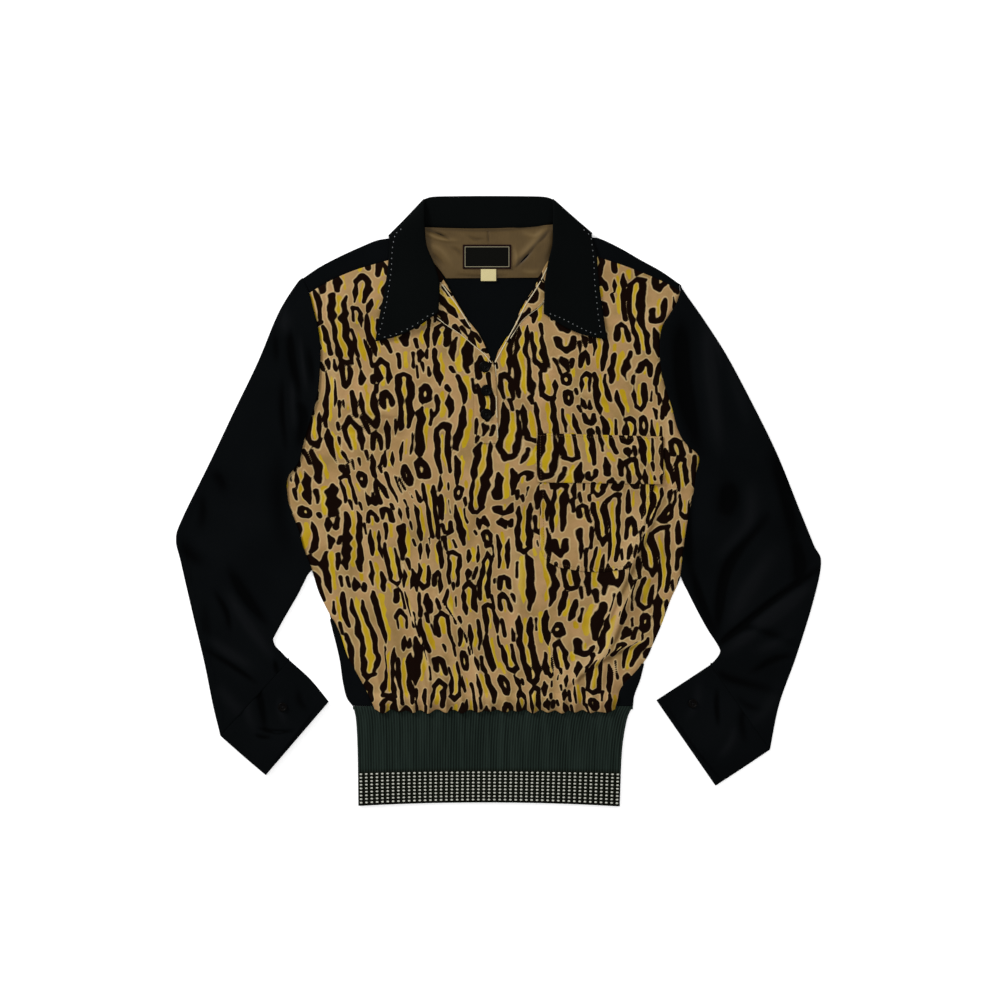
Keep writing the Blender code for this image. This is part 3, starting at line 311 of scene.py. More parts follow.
def thickShell(name, middle, wall, material, node):
    # closed wall of even thickness about a grid of middle points, with a rounded rim
    def ways(axis):
        step = unit(np.diff(middle, axis=axis))
        first, last = np.take(step, [0], axis=axis), np.take(step, [-1], axis=axis)
        return unit(np.concatenate([first, step], axis=axis) + np.concatenate([step, last], axis=axis))
    rows, columns = middle.shape[:2]
    normal = unit(np.cross(ways(1), ways(0)))
    top = (middle + normal * wall / 2).reshape(-1, 3)
    bottom = (middle - normal * wall / 2).reshape(-1, 3)
    index = numbered(rows, columns)
    loop = np.concatenate([index[0, :-1], index[:-1, -1], index[-1, :0:-1], index[:0:-1, 0]])
    flat = middle.reshape(-1, 3)
    out = np.zeros_like(middle)
    out[0] += unit(middle[0] - middle[1])
    out[-1] += unit(middle[-1] - middle[-2])
    out[:, 0] += unit(middle[:, 0] - middle[:, 1])
    out[:, -1] += unit(middle[:, -1] - middle[:, -2])
    rim = flat[loop] + unit(out.reshape(-1, 3)[loop]) * wall * rimRound
    count, after = rows * columns, np.roll(loop, -1)
    ringIndex = np.arange(len(loop)) + 2 * count
    ringAfter = np.roll(ringIndex, -1)
    quads = indexQuads(index)
    faces = np.vstack([
        quads, quads[:, ::-1] + count,
        np.stack([loop, ringIndex, ringAfter, after], axis=-1),
        np.stack([ringIndex, loop + count, after + count, ringAfter], axis=-1),
    ])
    return outward(meshPiece(name, np.vstack([top, bottom, rim]), faces, material, node))


# Materials

def shade(red, green, blue):
    # a screen colour from 0 to 255 as the light that Blender counts in
    c = np.array([red, green, blue]) / 255.0
    return tuple(np.where(c <= 0.04045, c / 12.92, ((c + 0.055) / 1.055) ** 2.4)) + (1.0,)


def node(tree, kind, values=None, **settings):
    made = tree.nodes.new(kind)
    for key, value in settings.items():
        setattr(made, key, value)
    for key, value in (values or {}).items():
        if isinstance(value, bpy.types.NodeSocket):
            tree.links.new(value, made.inputs[key])
        else:
            made.inputs[key].default_value = value
    return made


def mixColour(tree, factor, one, other, blend="MIX"):
    # each colour is a socket, light or, with three numbers, a screen colour
    one, other = (shade(*c) if isinstance(c, tuple) and len(c) == 3 else c for c in (one, other))
    mix = node(tree, "ShaderNodeMix", {0: factor, 6: one, 7: other}, data_type="RGBA", blend_type=blend)
    return mix.outputs[2]


def step(tree, value, low, high):
    # 1 below low, 0 above high
    made = node(tree, "ShaderNodeMapRange", {0: value, 1: low, 2: high, 3: 1.0, 4: 0.0})
    return made.outputs[0]


def noise(tree, where, scale, detail=2.0, roughness=0.5):
    values = {"Vector": where, "Scale": scale, "Detail": detail, "Roughness": roughness}
    return node(tree, "ShaderNodeTexNoise", values).outputs["Fac"]


def waves(tree, where, period, turn=0.0, rough=0.0):
    # soft bands this many metres apart, turned about z
    turned = node(tree, "ShaderNodeMapping", {"Vector": where, "Rotation": (0.0, 0.0, turn)}).outputs[0]
    values = {"Vector": turned, "Scale": 0.31416 / period, "Distortion": rough, "Detail": 1.0, "Detail Scale": 3.0}
    return node(tree, "ShaderNodeTexWave", values).outputs["Fac"]


def math2(tree, kind, one, other):
    return node(tree, "ShaderNodeMath", {0: one, 1: other}, operation=kind).outputs[0]


def times(tree, one, other):
    return math2(tree, "MULTIPLY", one, other)


def plus(tree, one, other):
    return math2(tree, "ADD", one, other)


def attribute(tree, name):
    return node(tree, "ShaderNodeAttribute", attribute_name=name).outputs["Fac"]


def tint(tree, colour, field, amount, target):
    # the colour moved towards the target by the field times the amount
    return mixColour(tree, times(tree, field, amount), colour, target)


def plainMaterial(name, values):
    made = bpy.data.materials.new(name)
    made.use_nodes = True
    shader = made.node_tree.nodes["Principled BSDF"]
    for key, value in values.items():
        shader.inputs[key].default_value = value
    return made, made.node_tree, shader


def fabric(name, roughness, sheen, sheenTint, specular):
    made, tree, shader = plainMaterial(name, {
        "Roughness": roughness, "Sheen Weight": sheen, "Sheen Roughness": 0.45, "Sheen Tint": (*sheenTint, 1.0),
        "Specular IOR Level": specular,
    })
    where = node(tree, "ShaderNodeTexCoord").outputs["Object"]
    return made, tree, shader, where


def finish(tree, shader, colour, height, depth):
    tree.links.new(colour, shader.inputs["Base Color"])
    bump = node(tree, "ShaderNodeBump", {"Height": height, "Strength": 0.6, "Distance": depth})
    tree.links.new(bump.outputs[0], shader.inputs["Normal"])


gabardine = {
    "body": {"base": (2, 3, 3), "pale": (10, 12, 14), "roughness": 0.75, "sheen": 0.002},
    "collar": {"base": (2, 3, 3), "pale": (9, 11, 11), "roughness": 0.72, "sheen": 0.002},
    "paintedRidgeLight": (18, 19, 21), "deep": (0, 0, 0),
}


def gabardineMaterial(name, kit):
    # steep twill lines, broken by a fine noise, on cloth that varies a little in depth of colour
    made, tree, shader, where = fabric(name, kit["roughness"], kit["sheen"], (0.8, 0.9, 1.0), 0.01)
    twill = waves(tree, where, 0.0011, 1.08, 1.2)
    fuzz = noise(tree, where, 2600.0, 3.0, 0.6)
    cloud = noise(tree, where, 14.0, 4.0, 0.55)
    level = times(tree, plus(tree, twill, fuzz), 0.3)
    level = plus(tree, level, times(tree, cloud, 0.4))
    colour = mixColour(tree, level, kit["base"], kit["pale"])
    # painted light and shade: paler along the ridges of the folds, darker in the troughs
    paintedFoldShade = attribute(tree, "paintedFoldShade")
    colour = tint(tree, colour, paintedFoldShade, 0.42, gabardine["paintedRidgeLight"])
    colour = tint(tree, colour, paintedFoldShade, -0.7, gabardine["deep"])
    finish(tree, shader, colour, plus(tree, twill, fuzz), 0.00012)
    return made


printCloth = {
    "tan": (160, 128, 88), "tanDeep": (136, 112, 70), "gold": (172, 148, 22), "goldDeep": (152, 122, 20),
    "dark": (14, 4, 1), "halo": (196, 176, 132), "edge": 0.45, "roughness": 0.66, "sheen": 0.005,
}


def printMaterial():
    # dark marks over gold ones over tan, by the distances that the cloth's own attributes hold, in mm
    kit = printCloth
    made, tree, shader, where = fabric("printCloth", kit["roughness"], kit["sheen"], (1.0, 0.95, 0.85), 0.02)
    cloud = noise(tree, where, 26.0, 4.0, 0.6)
    weave = times(tree, waves(tree, where, 0.0008, 0.0, 0.6), waves(tree, where, 0.0008, 1.5708, 0.6))
    fuzz = noise(tree, where, 1500.0, 2.0, 0.6)
    edge = kit["edge"]
    ragged = times(tree, math2(tree, "SUBTRACT", noise(tree, where, 300.0, 2.0, 0.6), 0.5), 0.5)
    fields = {}
    for name in ("dark", "gold"):
        field = attribute(tree, name)
        fields[name] = step(tree, plus(tree, field, ragged), -edge, edge)
    ground = mixColour(tree, step(tree, cloud, 0.35, 0.65), kit["tan"], kit["tanDeep"])
    gold = mixColour(tree, step(tree, cloud, 0.3, 0.7), kit["goldDeep"], kit["gold"])
    colour = mixColour(tree, fields["gold"], ground, gold)
    # undyed cloth shows as a pale line round the dark marks
    away = attribute(tree, "dark")
    halo = times(tree, step(tree, plus(tree, away, ragged), 0.5, 1.6), 0.5)
    colour = mixColour(tree, halo, colour, kit["halo"])
    # folds: painted shade in the troughs, painted light along the ridges
    paintedFoldShade = attribute(tree, "paintedFoldShade")
    colour = tint(tree, colour, paintedFoldShade, -0.5, (74, 54, 26))
    colour = tint(tree, colour, paintedFoldShade, 0.16, (214, 192, 150))
    colour = mixColour(tree, fields["dark"], colour, kit["dark"])
    colour = mixColour(tree, times(tree, fuzz, 0.35), colour, (0.2, 0.16, 0.12, 1.0), "SOFT_LIGHT")
    finish(tree, shader, colour, plus(tree, weave, fuzz), 0.0001)
    return made


def ribMaterial():
    # the wales are painted paler and the valleys darker, as light and shade; the border is nearly black between its
    # rows of stitches
    made, tree, shader, where = fabric("ribKnit", 0.85, 0.02, (0.75, 1.0, 0.95), 0.03)
    wale = attribute(tree, "wale")
    border = attribute(tree, "border")
    loops = waves(tree, where, 0.0013, 1.5708, 0.8)
    fuzz = noise(tree, where, 1800.0, 3.0, 0.65)
    cloud = noise(tree, where, 20.0, 3.0, 0.5)
    # painted light on the wales and painted shade in the valleys
    line = times(tree, math2(tree, "POWER", wale, 2.5), plus(tree, fuzz, 0.45))
    plain = mixColour(tree, line, (13, 18, 15), (34, 46, 40))
    plain = tint(tree, plain, cloud, 0.5, (13, 20, 17))
    long = node(tree, "ShaderNodeMapping", {"Vector": where, "Scale": (1.0, 0.06, 1.0)}).outputs[0]
    streak = step(tree, noise(tree, long, 170.0, 3.0, 0.6), 0.66, 0.42)
    plain = tint(tree, plain, streak, 0.45, (34, 44, 39))
    dark = mixColour(tree, line, (5, 6, 2), (22, 25, 18))
    colour = mixColour(tree, border, plain, dark)
    finish(tree, shader, colour, plus(tree, loops, fuzz), 0.00018)
    return made


def satinMaterial():
    made, tree, shader, where = fabric("satinFacing", 0.46, 0.01, (1.0, 0.9, 0.75), 0.12)
    stretched = node(tree, "ShaderNodeMapping", {"Vector": where, "Scale": (1.0, 0.12, 1.0)}).outputs[0]
    streak = noise(tree, stretched, 900.0, 3.0, 0.6)
    cloud = noise(tree, where, 55.0, 3.0, 0.55)
    colour = mixColour(tree, cloud, (53, 39, 17), (76, 59, 31))
    # painted light along the ridges of the folds and painted shade in their troughs
    paintedFoldShade = attribute(tree, "paintedFoldShade")
    colour = tint(tree, colour, paintedFoldShade, 0.6, (112, 92, 58))
    colour = tint(tree, colour, paintedFoldShade, -1.1, (24, 15, 6))
    colour = tint(tree, colour, streak, 0.35, (97, 79, 48))
    finish(tree, shader, colour, streak, 0.00005)
    return made


def wovenMaterial(name, ground, border=None, line=None):
    # a damask weave; border and line are bands this far from the edge, in mm, each with its colour
    made, tree, shader, where = fabric(name, 0.62, 0.005, (1.0, 1.0, 1.0), 0.03)
    picks = times(tree, waves(tree, where, 0.0004, 1.5708, 0.3), waves(tree, where, 0.0006, 0.0, 0.3))
    colour = mixColour(tree, picks, ground, tuple(min(255, c * 1.25 + 4) for c in ground))
    if border:
        far = attribute(tree, "edge")
        colour = mixColour(tree, step(tree, far, border[0] - 0.15, border[0] + 0.15), colour, border[1])
        band = math2(tree, "ABSOLUTE", math2(tree, "SUBTRACT", far, line[0]), 0.0)
        colour = mixColour(tree, step(tree, band, line[1] - 0.12, line[1] + 0.12), colour, line[2])
    finish(tree, shader, colour, picks, 0.00008)
    return made


def threadMaterial(name, colour):
    made, tree, shader, where = fabric(name, 0.6, 0.03, (1.0, 1.0, 1.0), 0.12)
    ply = waves(tree, where, 0.0005, 0.7, 0.5)
    deep = tuple(c * 0.75 for c in colour)
    finish(tree, shader, mixColour(tree, ply, deep, colour), ply, 0.0001)
    return made


def buttonMaterial():
    # polished dark plastic with a faint swirl
    made, tree, shader, where = fabric("buttonPlastic", 0.38, 0.0, (1.0, 1.0, 1.0), 0.03)
    swirl = noise(tree, where, 260.0, 4.0, 0.6)
    finish(tree, shader, mixColour(tree, swirl, (1, 1, 1), (9, 7, 6)), swirl, 0.00002)
    return made


black = gabardineMaterial("blackGabardine", gabardine["body"])
blueBlack = gabardineMaterial("collarGabardine", gabardine["collar"])
leopard = printMaterial()
rib = ribMaterial()
satin = satinMaterial()
labelCloth = wovenMaterial("labelWeave", (6, 6, 4), (1.2, (24, 10, 8)), (2.5, 0.26, (150, 142, 116)))
tabCloth = wovenMaterial("tabWeave", (174, 163, 120))
creamThread = threadMaterial("creamThread", (198, 199, 186))
paleThread = threadMaterial("paleThread", (116, 119, 120))
paleEdgeAndHighlight = threadMaterial("paleEdgeAndHighlight", (206, 193, 160))
darkThread = threadMaterial("darkThread", (7, 7, 8))
tanThread = threadMaterial("tanThread", (92, 70, 42))
buttonPlastic = buttonMaterial()
print("materials made")


# The print: marks charted by kind, with chance in their lengths, widths and places

printKit = {
    "seed": 11, "pitch": 24.8, "gap": (4.0, 6.8), "span": 430.0, "lean": 0.05, "finer": 1.04, "grow": (0.26, -0.08),
    "bend": (8.4, 126.0), "sway": (3.0, 30.0), "wobble": (0.62, 7.0),
    "gather": (0.26, 120.0),
    "kinds": {"pair": 0.33, "arch": 0.15, "ring": 0.09, "lone": 0.11, "half": 0.22, "blob": 0.1},
}


def stroke(points, widths):
    return [(a, b, wa, wb) for a, b, wa, wb in zip(points[:-1], points[1:], widths[:-1], widths[1:])]


def wavyBar(rng, x, top, bottom, width, sway=1.6):
    count = max(2, int(abs(top - bottom) / 8) + 1)
    widths = width * rng.uniform(0.7, 1.3, count)
    widths[[0, -1]] *= rng.uniform(0.3, 0.85, 2)
    return stroke(list(zip(x + rng.uniform(-sway, sway, count), np.linspace(top, bottom, count))), list(widths))


def printMark(rng, kind, x, top):
    # one mark from its top down: its dark strokes, its gold ones and its length
    gold = []
    if kind == "pair":
        long = rng.choice([26, 36, 48, 66, 92], p=[0.2, 0.28, 0.26, 0.16, 0.1])
        half, (left, right) = rng.uniform(6.4, 7.8), rng.uniform(0, 9, 2)
        dark = wavyBar(rng, x - half, top - left, top - long + right * 0.7, rng.uniform(3.1, 4.5))
        dark += wavyBar(rng, x + half, top - right, top - long + left * 0.7, rng.uniform(3.1, 4.5))
        gold = wavyBar(rng, x, top - rng.uniform(2, 9), top - long + rng.uniform(2, 9), rng.uniform(3.2, 4.2), 0.8)
        ends, foot = rng.random(), top - long
        if ends < 0.4:
            dark += stroke([(x - half, top - left), (x, top + 1.0), (x + half, top - right)], [3.2, 3.0, 3.2])
        elif ends < 0.7:
            dark += stroke([(x - half, foot + right), (x, foot), (x + half, foot + left)], [3.0, 3.6, 3.0])
    elif kind == "arch":
        long, half, way = rng.uniform(18, 30), rng.uniform(5.2, 6.8), rng.choice([-1, 1], p=[0.35, 0.65])
        crown, (left, right) = top if way > 0 else top - long, rng.uniform(0.55, 1.0, 2)
        dark = stroke([(x - half, crown - way * long * left), (x - half * 0.85, crown - way * 6),
                       (x, crown - way * 3.2), (x + half * 0.85, crown - way * 7),
                       (x + half * 1.1, crown - way * long * right)], list(rng.uniform(2.9, 4.6, 5)))
        gold = wavyBar(rng, x, crown - way * 9, crown - way * long * 0.9, 2.9, 0.6)
    elif kind == "ring":
        long, half, opened = rng.uniform(17, 24), rng.uniform(5.0, 6.0), int(rng.random() < 0.35)
        angles = np.linspace(0, 6.283, 9) + rng.uniform(0, 6)
        ring = [(x + half * np.cos(a), top - long / 2 + long * 0.36 * np.sin(a)) for a in angles]
        dark = stroke(ring[opened:], list(rng.uniform(2.8, 4.4, 9 - opened)))
        gold = wavyBar(rng, x, top - long * 0.36, top - long * 0.64, 2.0, 0.3)
    elif kind == "blob":
        long = rng.uniform(11, 17)
        wide = rng.uniform(4.2, 6.2)
        dark = stroke([(x + rng.uniform(-5, 5), top - 1), (x, top - long / 2), (x + rng.uniform(-4, 4), top - long)],
                      [1.6, wide, 2.2])
        dark += stroke([(x + 9.5, top - rng.uniform(0, 6)), (x + 8.5, top - rng.uniform(9, 15))], [2.6, 3.4])
    elif kind == "lone":
        long, other = rng.choice([11, 16, 22, 32]), rng.choice([11, 16, 22])
        dark = wavyBar(rng, x + rng.uniform(-7, -5), top - 3, top - long, rng.uniform(3.2, 4.8))
        dark += wavyBar(rng, x + rng.uniform(5, 8), top - 1 - rng.uniform(0, 5), top - other, rng.uniform(3.0, 4.6))
        long = max(long, other)
    else:
        long, side = rng.choice([20, 30, 42, 54]), rng.choice([-1, 1])
        dark = wavyBar(rng, x + side * 6.0, top, top - long, rng.uniform(3.8, 5.4), 2.0)
        gold = wavyBar(rng, x - side * 1.4, top - 2, top - long + 4, rng.uniform(3.0, 4.2), 0.8)
        if rng.random() < 0.6:
            short = long * rng.uniform(0.3, 0.7)
            dark += wavyBar(rng, x - side * 8.0, top - rng.uniform(2, 8), top - short - 4, 3.0)
    return dark, gold, long


def nearest(x, y, strokes):
    # distance to the closest stroke less half its width, for every point at once, counted up to 8 mm
    field = np.full(x.shape, 8.0)
    order = np.argsort(y)
    sortedY = y[order]
    for (ax, ay), (bx, by), wa, wb in strokes:
        low, high = np.searchsorted(sortedY, [min(ay, by) - 12, max(ay, by) + 12])
        part = order[low:high]
        part = part[(x[part] > min(ax, bx) - 12) & (x[part] < max(ax, bx) + 12)]
        px, py, dx, dy = x[part] - ax, y[part] - ay, bx - ax, by - ay
        t = np.clip((px * dx + py * dy) / (dx * dx + dy * dy + 1e-6), 0, 1)
        field[part] = np.minimum(field[part], np.hypot(px - t * dx, py - t * dy) - (wa + (wb - wa) * t))
    return field


def printMarks():
    rng = np.random.default_rng(printKit["seed"])
    kinds, shares = zip(*printKit["kinds"].items())
    span, dark, gold = printKit["span"], [], []
    x = -span
    while x < span:
        y = span - rng.uniform(0, 30)
        while y > -span:
            d, g, long = printMark(rng, rng.choice(kinds, p=shares), x + rng.uniform(-2.5, 2.5), y)
            dark += d
            gold += g
            y -= long + rng.uniform(*printKit["gap"])
        x += printKit["pitch"] * rng.uniform(0.9, 1.08)
    # small marks fill the places that are still bare
    spots = rng.uniform(-span, span, (14000, 2))
    room = nearest(spots[:, 0], spots[:, 1], dark + gold)
    kept = []
    for sx, sy in spots[room > 4.6]:
        if all(abs(sx - kx) > 9 or abs(sy - ky) > 14 for kx, ky in kept):
            kept.append((sx, sy))
            tall, wide, (lean, back) = rng.uniform(2, 7), rng.uniform(2.2, 3.4), rng.uniform(0, 1.5, 2)
            mark = stroke([(sx - lean, sy + tall), (sx + back, sy - tall)], [wide, wide * 0.8])
            (gold if rng.random() < 0.15 else dark).extend(mark)
    return dark, gold


darkMarks, goldMarks = printMarks()


def hiddenIn(x, y, table):
    # how far the print has moved sideways by each place, where folds hide some of it
    moved = np.zeros(x.shape)
    for x0, y0, x1, y1, x2, y2, narrow, amount in table:
        gap, side, share = distanceTo(x, y, spline(np.array([(x0, y0), (x1, y1), (x2, y2)], float)))
        fade = np.sin(np.pi * np.clip(share, 0.0, 1.0) ** 0.6) * np.exp(-((gap / 30.0) ** 2))
        moved += amount * np.tanh(gap / narrow) * np.sign(side) * fade
    return moved


def printFields(x, y, pleats=()):
    # the marks lie on cloth that is bent and swayed a little, and drawn in towards the waist
    (bend, bendSize), (sway, swaySize) = printKit["bend"], printKit["sway"]
    wobble, wobbleSize = printKit["wobble"]
    drawnIn = 1.0 + printKit["gather"][0] * np.exp(-np.maximum(y - waistSeam, 0.0) / printKit["gather"][1])
    u = x * drawnIn + hiddenIn(x, y, pleats) + printKit["lean"] * y
    u = u + bend * ripple(x, y, bendSize, 3) + sway * ripple(x, y, swaySize, 4)
    v = y + bend * ripple(x, y, bendSize, 5) + sway * ripple(x, y, swaySize, 6)
    u, v = u * printKit["finer"], v * printKit["finer"]
    return [nearest(u, v, marks) / printKit["finer"] + wobble * ripple(x, y, wobbleSize, seed) - grow
            for marks, seed, grow in zip((darkMarks, goldMarks), (7, 8), printKit["grow"])]


def paintPrint(piece, shift=(0.0, 0.0), turn=0.0, pleats=()):
    # shift moves the print on a piece that was cut elsewhere, and turn leans it, in degrees
    x, y = placesOf(piece)
    c, d = math.cos(math.radians(turn)), math.sin(math.radians(turn))
    x, y = x * c + y * d + shift[0], y * c - x * d + shift[1]
    for name, field in zip(("dark", "gold"), printFields(x, y, pleats)):
        setField(piece, name, field)
    return piece


print("print charted:", len(darkMarks), "dark strokes,", len(goldMarks), "gold strokes")


# Front: two halves that meet down the middle and part at the V

frontKit = {
    "waistRows": (-248.0, -238.0, -226.0), "centreRows": (0, 1, 2, 18), "centreYs": (-248.0, -238.0, -226.0, 163.8),
    "topRow": 16, "vRow": 10, "fine": 11, "columns": 142, "wall": 1.4, "seamDip": 0.9,
    # x, height, how far up it fades and how far it leans over on the way
    "gathers": [
        (-138.6, 2.6, 60, -12), (-118.2, 1.9, 75, -9), (-102.6, 2.3, 50, 2), (-84.6, 2.7, 90, -14),
        (-63.0, 2.2, 110, -9), (-43.8, 2.6, 80, -12), (-24.6, 2.0, 55, -4), (-10.2, 1.6, 45, 0), (7.8, 2.0, 50, 3),
        (23.4, 1.6, 60, -2), (41.4, 2.5, 70, 5), (59.4, 2.1, 55, 3), (76.2, 2.6, 100, 8), (91.8, 2.0, 85, 7),
        (109.8, 2.4, 75, 10), (122.0, 1.4, 45, 5), (131.0, 1.9, 55, 12),
    ],
    "folds": [
        (-120, -95, -95, -162, -72, -230, 12, 3, 2.4), (-76, -112, -40, -160, -18, -228, 10, 3, 2.2),
        (196, 8, 160, -75, 100, -205, 4, 14, 2.4), (210, -30, 188, -100, 150, -160, 9, 9, -0.9),
        (-205, 120, -150, 108, -105, 100, 9, 4, 1.3), (-190, 84, -150, 82, -108, 78, 8, 3, -0.9),
        (-222, -20, -190, -75, -170, -140, 10, 5, 1.4), (-210, 200, -196, 150, -190, 95, 9, 5, 1.2),
        (60, 140, 100, 128, 150, 122, 10, 5, 0.9), (12, -40, 28, -90, 20, -150, 10, 5, 1.1),
        (-196, 20, -160, -40, -150, -110, 12, 5, 1.3), (-150, 60, -120, 10, -128, -60, 10, 6, 1.0),
        (-100, 20, -60, -20, -40, -80, 10, 5, 1.0), (170, -90, 140, -150, 122, -215, 5, 10, 1.6),
        (-30, 60, -20, 0, -36, -60, 8, 6, -0.7), (210, 120, 204, 60, 214, 0, 8, 5, 1.0),
        (-60, 150, -90, 120, -110, 60, 9, 6, 0.8), (40, 190, 60, 160, 52, 110, 8, 6, 0.8),
        (178, -166, 128, -186, 80, -222, 3, 9, 2.0), (130, -134, 120, -162, 84, -194, 5, 6, -1.2),
        (-116, -104, -88, -170, -82, -238, 2, 3, 1.2), (-64, -112, -34, -176, -20, -214, 2.2, 3, 1.1),
        (-100, -150, -84, -190, -66, -236, 2, 2.4, 0.9), (150, -120, 140, -160, 112, -206, 3, 5, 1.0),
    ],
    # where cloth is hidden in a fold: its path, how narrow it is and how much print goes into it
    "pleats": [
        (-120, -95, -95, -162, -72, -230, 2.0, 7), (-76, -112, -40, -160, -18, -228, 1.8, 6),
        (196, 8, 160, -75, 100, -205, 2.0, 6), (-138, -180, -132, -205, -128, -240, 1.6, 5),
        (170, -90, 140, -150, 122, -215, 1.6, 5), (-50, -170, -46, -200, -44, -240, 1.5, 4),
        (60, -170, 64, -200, 68, -240, 1.5, 4), (178, -166, 128, -186, 80, -222, 1.6, 5),
    ],
}


def frontGathers(x, y):
    up = np.maximum(y - waistSeam, 0.0)
    total = np.zeros(x.shape)
    for place, height, length, lean in frontKit["gathers"]:
        gap = np.abs(x - place - lean * up / length)
        total += height * np.exp(-((gap / (4.9 + 0.055 * up)) ** 1.4)) * np.exp(-up / length)
    return total - 0.45 * np.exp(-up / 60.0)


def frontHeight(x, y):
    # the level of the cloth, its rise over the waist seam, its blousing, gathers and folds
    up = y - waistSeam
    level = np.maximum(3.1 + 1.2 * neckLift(x, y + 10.0), 7.05 * ease((24.0 - up) / 18.0))
    blouse = 1.6 * ease(up / 18.0) * ease((95.0 - up) / 80.0)
    grain = 0.12 * ripple(x, y, 46.0, 21) + 0.06 * ripple(x, y, 17.0, 22)
    return level + blouse + 0.9 * frontGathers(x, y) + 1.2 * folds(x, y, frontKit["folds"]) + grain


def frontSide(printEdge, side, armhole):
    rows = [(xAt(printEdge, y), y) for y in frontKit["waistRows"]]
    for x, y in side[2:-1]:
        rows.append((xAt(printEdge, y), y) if y < printEdge[-1][1] - 3.0 else (x, y))
    return np.array(rows + armhole[: frontKit["topRow"] + 1])


def frontHalf(sidePoints, top, vEdge):
    # points between the side line and the middle line, row by row, bowed up to the top edge
    fine, count = frontKit["fine"], frontKit["columns"]
    side = spline(sidePoints, fine)
    rows = len(side)
    low = rows - fine * (frontKit["topRow"] - frontKit["vRow"])
    lowY = np.interp(np.arange(low) / fine, frontKit["centreRows"], frontKit["centreYs"])
    lowX = -2.0 - 3.0 * np.linspace(0.0, 1.0, low)
    centre = np.vstack([np.stack([lowX, lowY], axis=-1), along(vEdge, np.linspace(0, 1, rows - low + 1)[1:])])
    u = np.linspace(0.0, 1.0, count)[None, :]
    x = side[:, :1] + (centre[:, :1] - side[:, :1]) * u
    y = side[:, 1:] + (centre[:, 1:] - side[:, 1:]) * u
    topX = top[0][0] + (top[-1][0] - top[0][0]) * u
    dense = spline(top)
    order = np.argsort(dense[:, 0])
    bow = np.interp(topX, dense[order, 0], dense[order, 1]) - top[0][1] - (top[-1][1] - top[0][1]) * u
    y = y + np.clip((np.arange(rows) - low + 1) / (rows - low), 0.0, 1.0)[:, None] ** 2 * bow
    lobes = sum(h * np.exp(-((x - p) / 6.5) ** 2) for p, h, _, _ in frontKit["gathers"])
    y = y - (0.6 + 2.1 * lobes) * np.exp(-np.arange(rows) / 3.0)[:, None]
    z = frontHeight(x, y)
    toSide = np.hypot(x - side[:, :1], y - side[:, 1:])
    z = z - frontKit["seamDip"] * np.exp(-(toSide / 2.2) ** 2)
    return np.stack([x, y, z], axis=-1), low


leftSide = frontSide(cut["printEdgeLeft"], cut["sideLeft"], cut["armholeLeft"])
rightSide = frontSide(cut["printEdgeRight"], cut["sideRight"], cut["armholeRight"])
leftHalf, joined = frontHalf(leftSide, cut["printTopLeft"], cut["vLeft"])
rightHalf, joined = frontHalf(rightSide, cut["printTopRight"], cut["vRight"])
leftIndex = numbered(*leftHalf.shape[:2])
rightIndex = leftIndex + leftIndex.size
rightIndex[:joined, -1] = leftIndex[:joined, -1]


frontPoints = np.vstack([leftHalf.reshape(-1, 3), rightHalf.reshape(-1, 3)])
frontQuads = np.vstack([upward(frontPoints, indexQuads(leftIndex)), upward(frontPoints, indexQuads(rightIndex))])
frontUsed, frontFlat = np.unique(frontQuads, return_inverse=True)
front = paintPrint(meshPiece("shirtFront", *rimmed(frontPoints[frontUsed], frontFlat.reshape(-1, 4),
                                                   frontKit["wall"]), leopard, "front"),
                   pleats=frontKit["pleats"])
addFoldShading(front, frontKit["folds"], frontGathers)
print("front made")


# What is sewn on the front: every piece lies between two lines and follows the front's own height

def overlay(name, first, second, rows, columns, height, lift, wall, material, piece=None, sag=0.0, tuck=3.0):
    shares = np.linspace(0.0, 1.0, rows)
    a, b = along(first, shares)[:, None], along(second, shares)[:, None]
    u = np.linspace(0.0, 1.0, columns)[None, :, None]
    flat = a * (1 - u) + b * u
    x, y = flat[..., 0], flat[..., 1]
    y = y - sag * np.sin(np.pi * u[..., 0]) * ease((shares[:, None] - 0.6) / 0.4)
    z = height(x, y) + lift
    points = np.stack([x, y, z], axis=-1).reshape(-1, 3)
    quads = upward(points, gridQuads(rows, columns))
    return meshPiece(name, *rimmed(points, quads, wall, tuck), material, piece)


pocketKit = {
    "left": [(49.8, 33.0), (49.8, 10.0), (50.2, -20.0), (50.6, -50.0), (56.4, -69.0), (70.0, -78.6)],
    "right": [(190.5, 33.0), (184.4, 10.0), (176.6, -20.0), (168.6, -50.0), (163.0, -69.0), (156.0, -80.6)],
    "bandLeft": [(46.2, 81.1), (46.2, 52.0), (46.8, 22.8)],
    "bandRight": [(197.4, 76.8), (197.6, 50.0), (196.4, 20.4)],
    "shift": (61.0, -37.0), "bandShift": (-44.0, 23.0), "sag": 5.0,
}


def pocketHeight(x, y):
    return frontHeight(x, y) + 0.35 * ripple(x, y, 60.0, 31)


def bandHeight(x, y):
    return pocketHeight(x, y) + 1.1 * ease((38.0 - y) / 6.0)


pocket = paintPrint(overlay("chestPocket", pocketKit["left"], pocketKit["right"], 60, 74, pocketHeight, 1.3, 1.0,
                            leopard, "pocket", pocketKit["sag"]), pocketKit["shift"])
addFoldShading(pocket, frontKit["folds"], frontGathers)
band = paintPrint(overlay("pocketBand", pocketKit["bandLeft"], pocketKit["bandRight"], 34, 80, bandHeight, 1.35,
                          1.0, leopard, "pocket_flap"), pocketKit["bandShift"])
addFoldShading(band, frontKit["folds"], frontGathers)

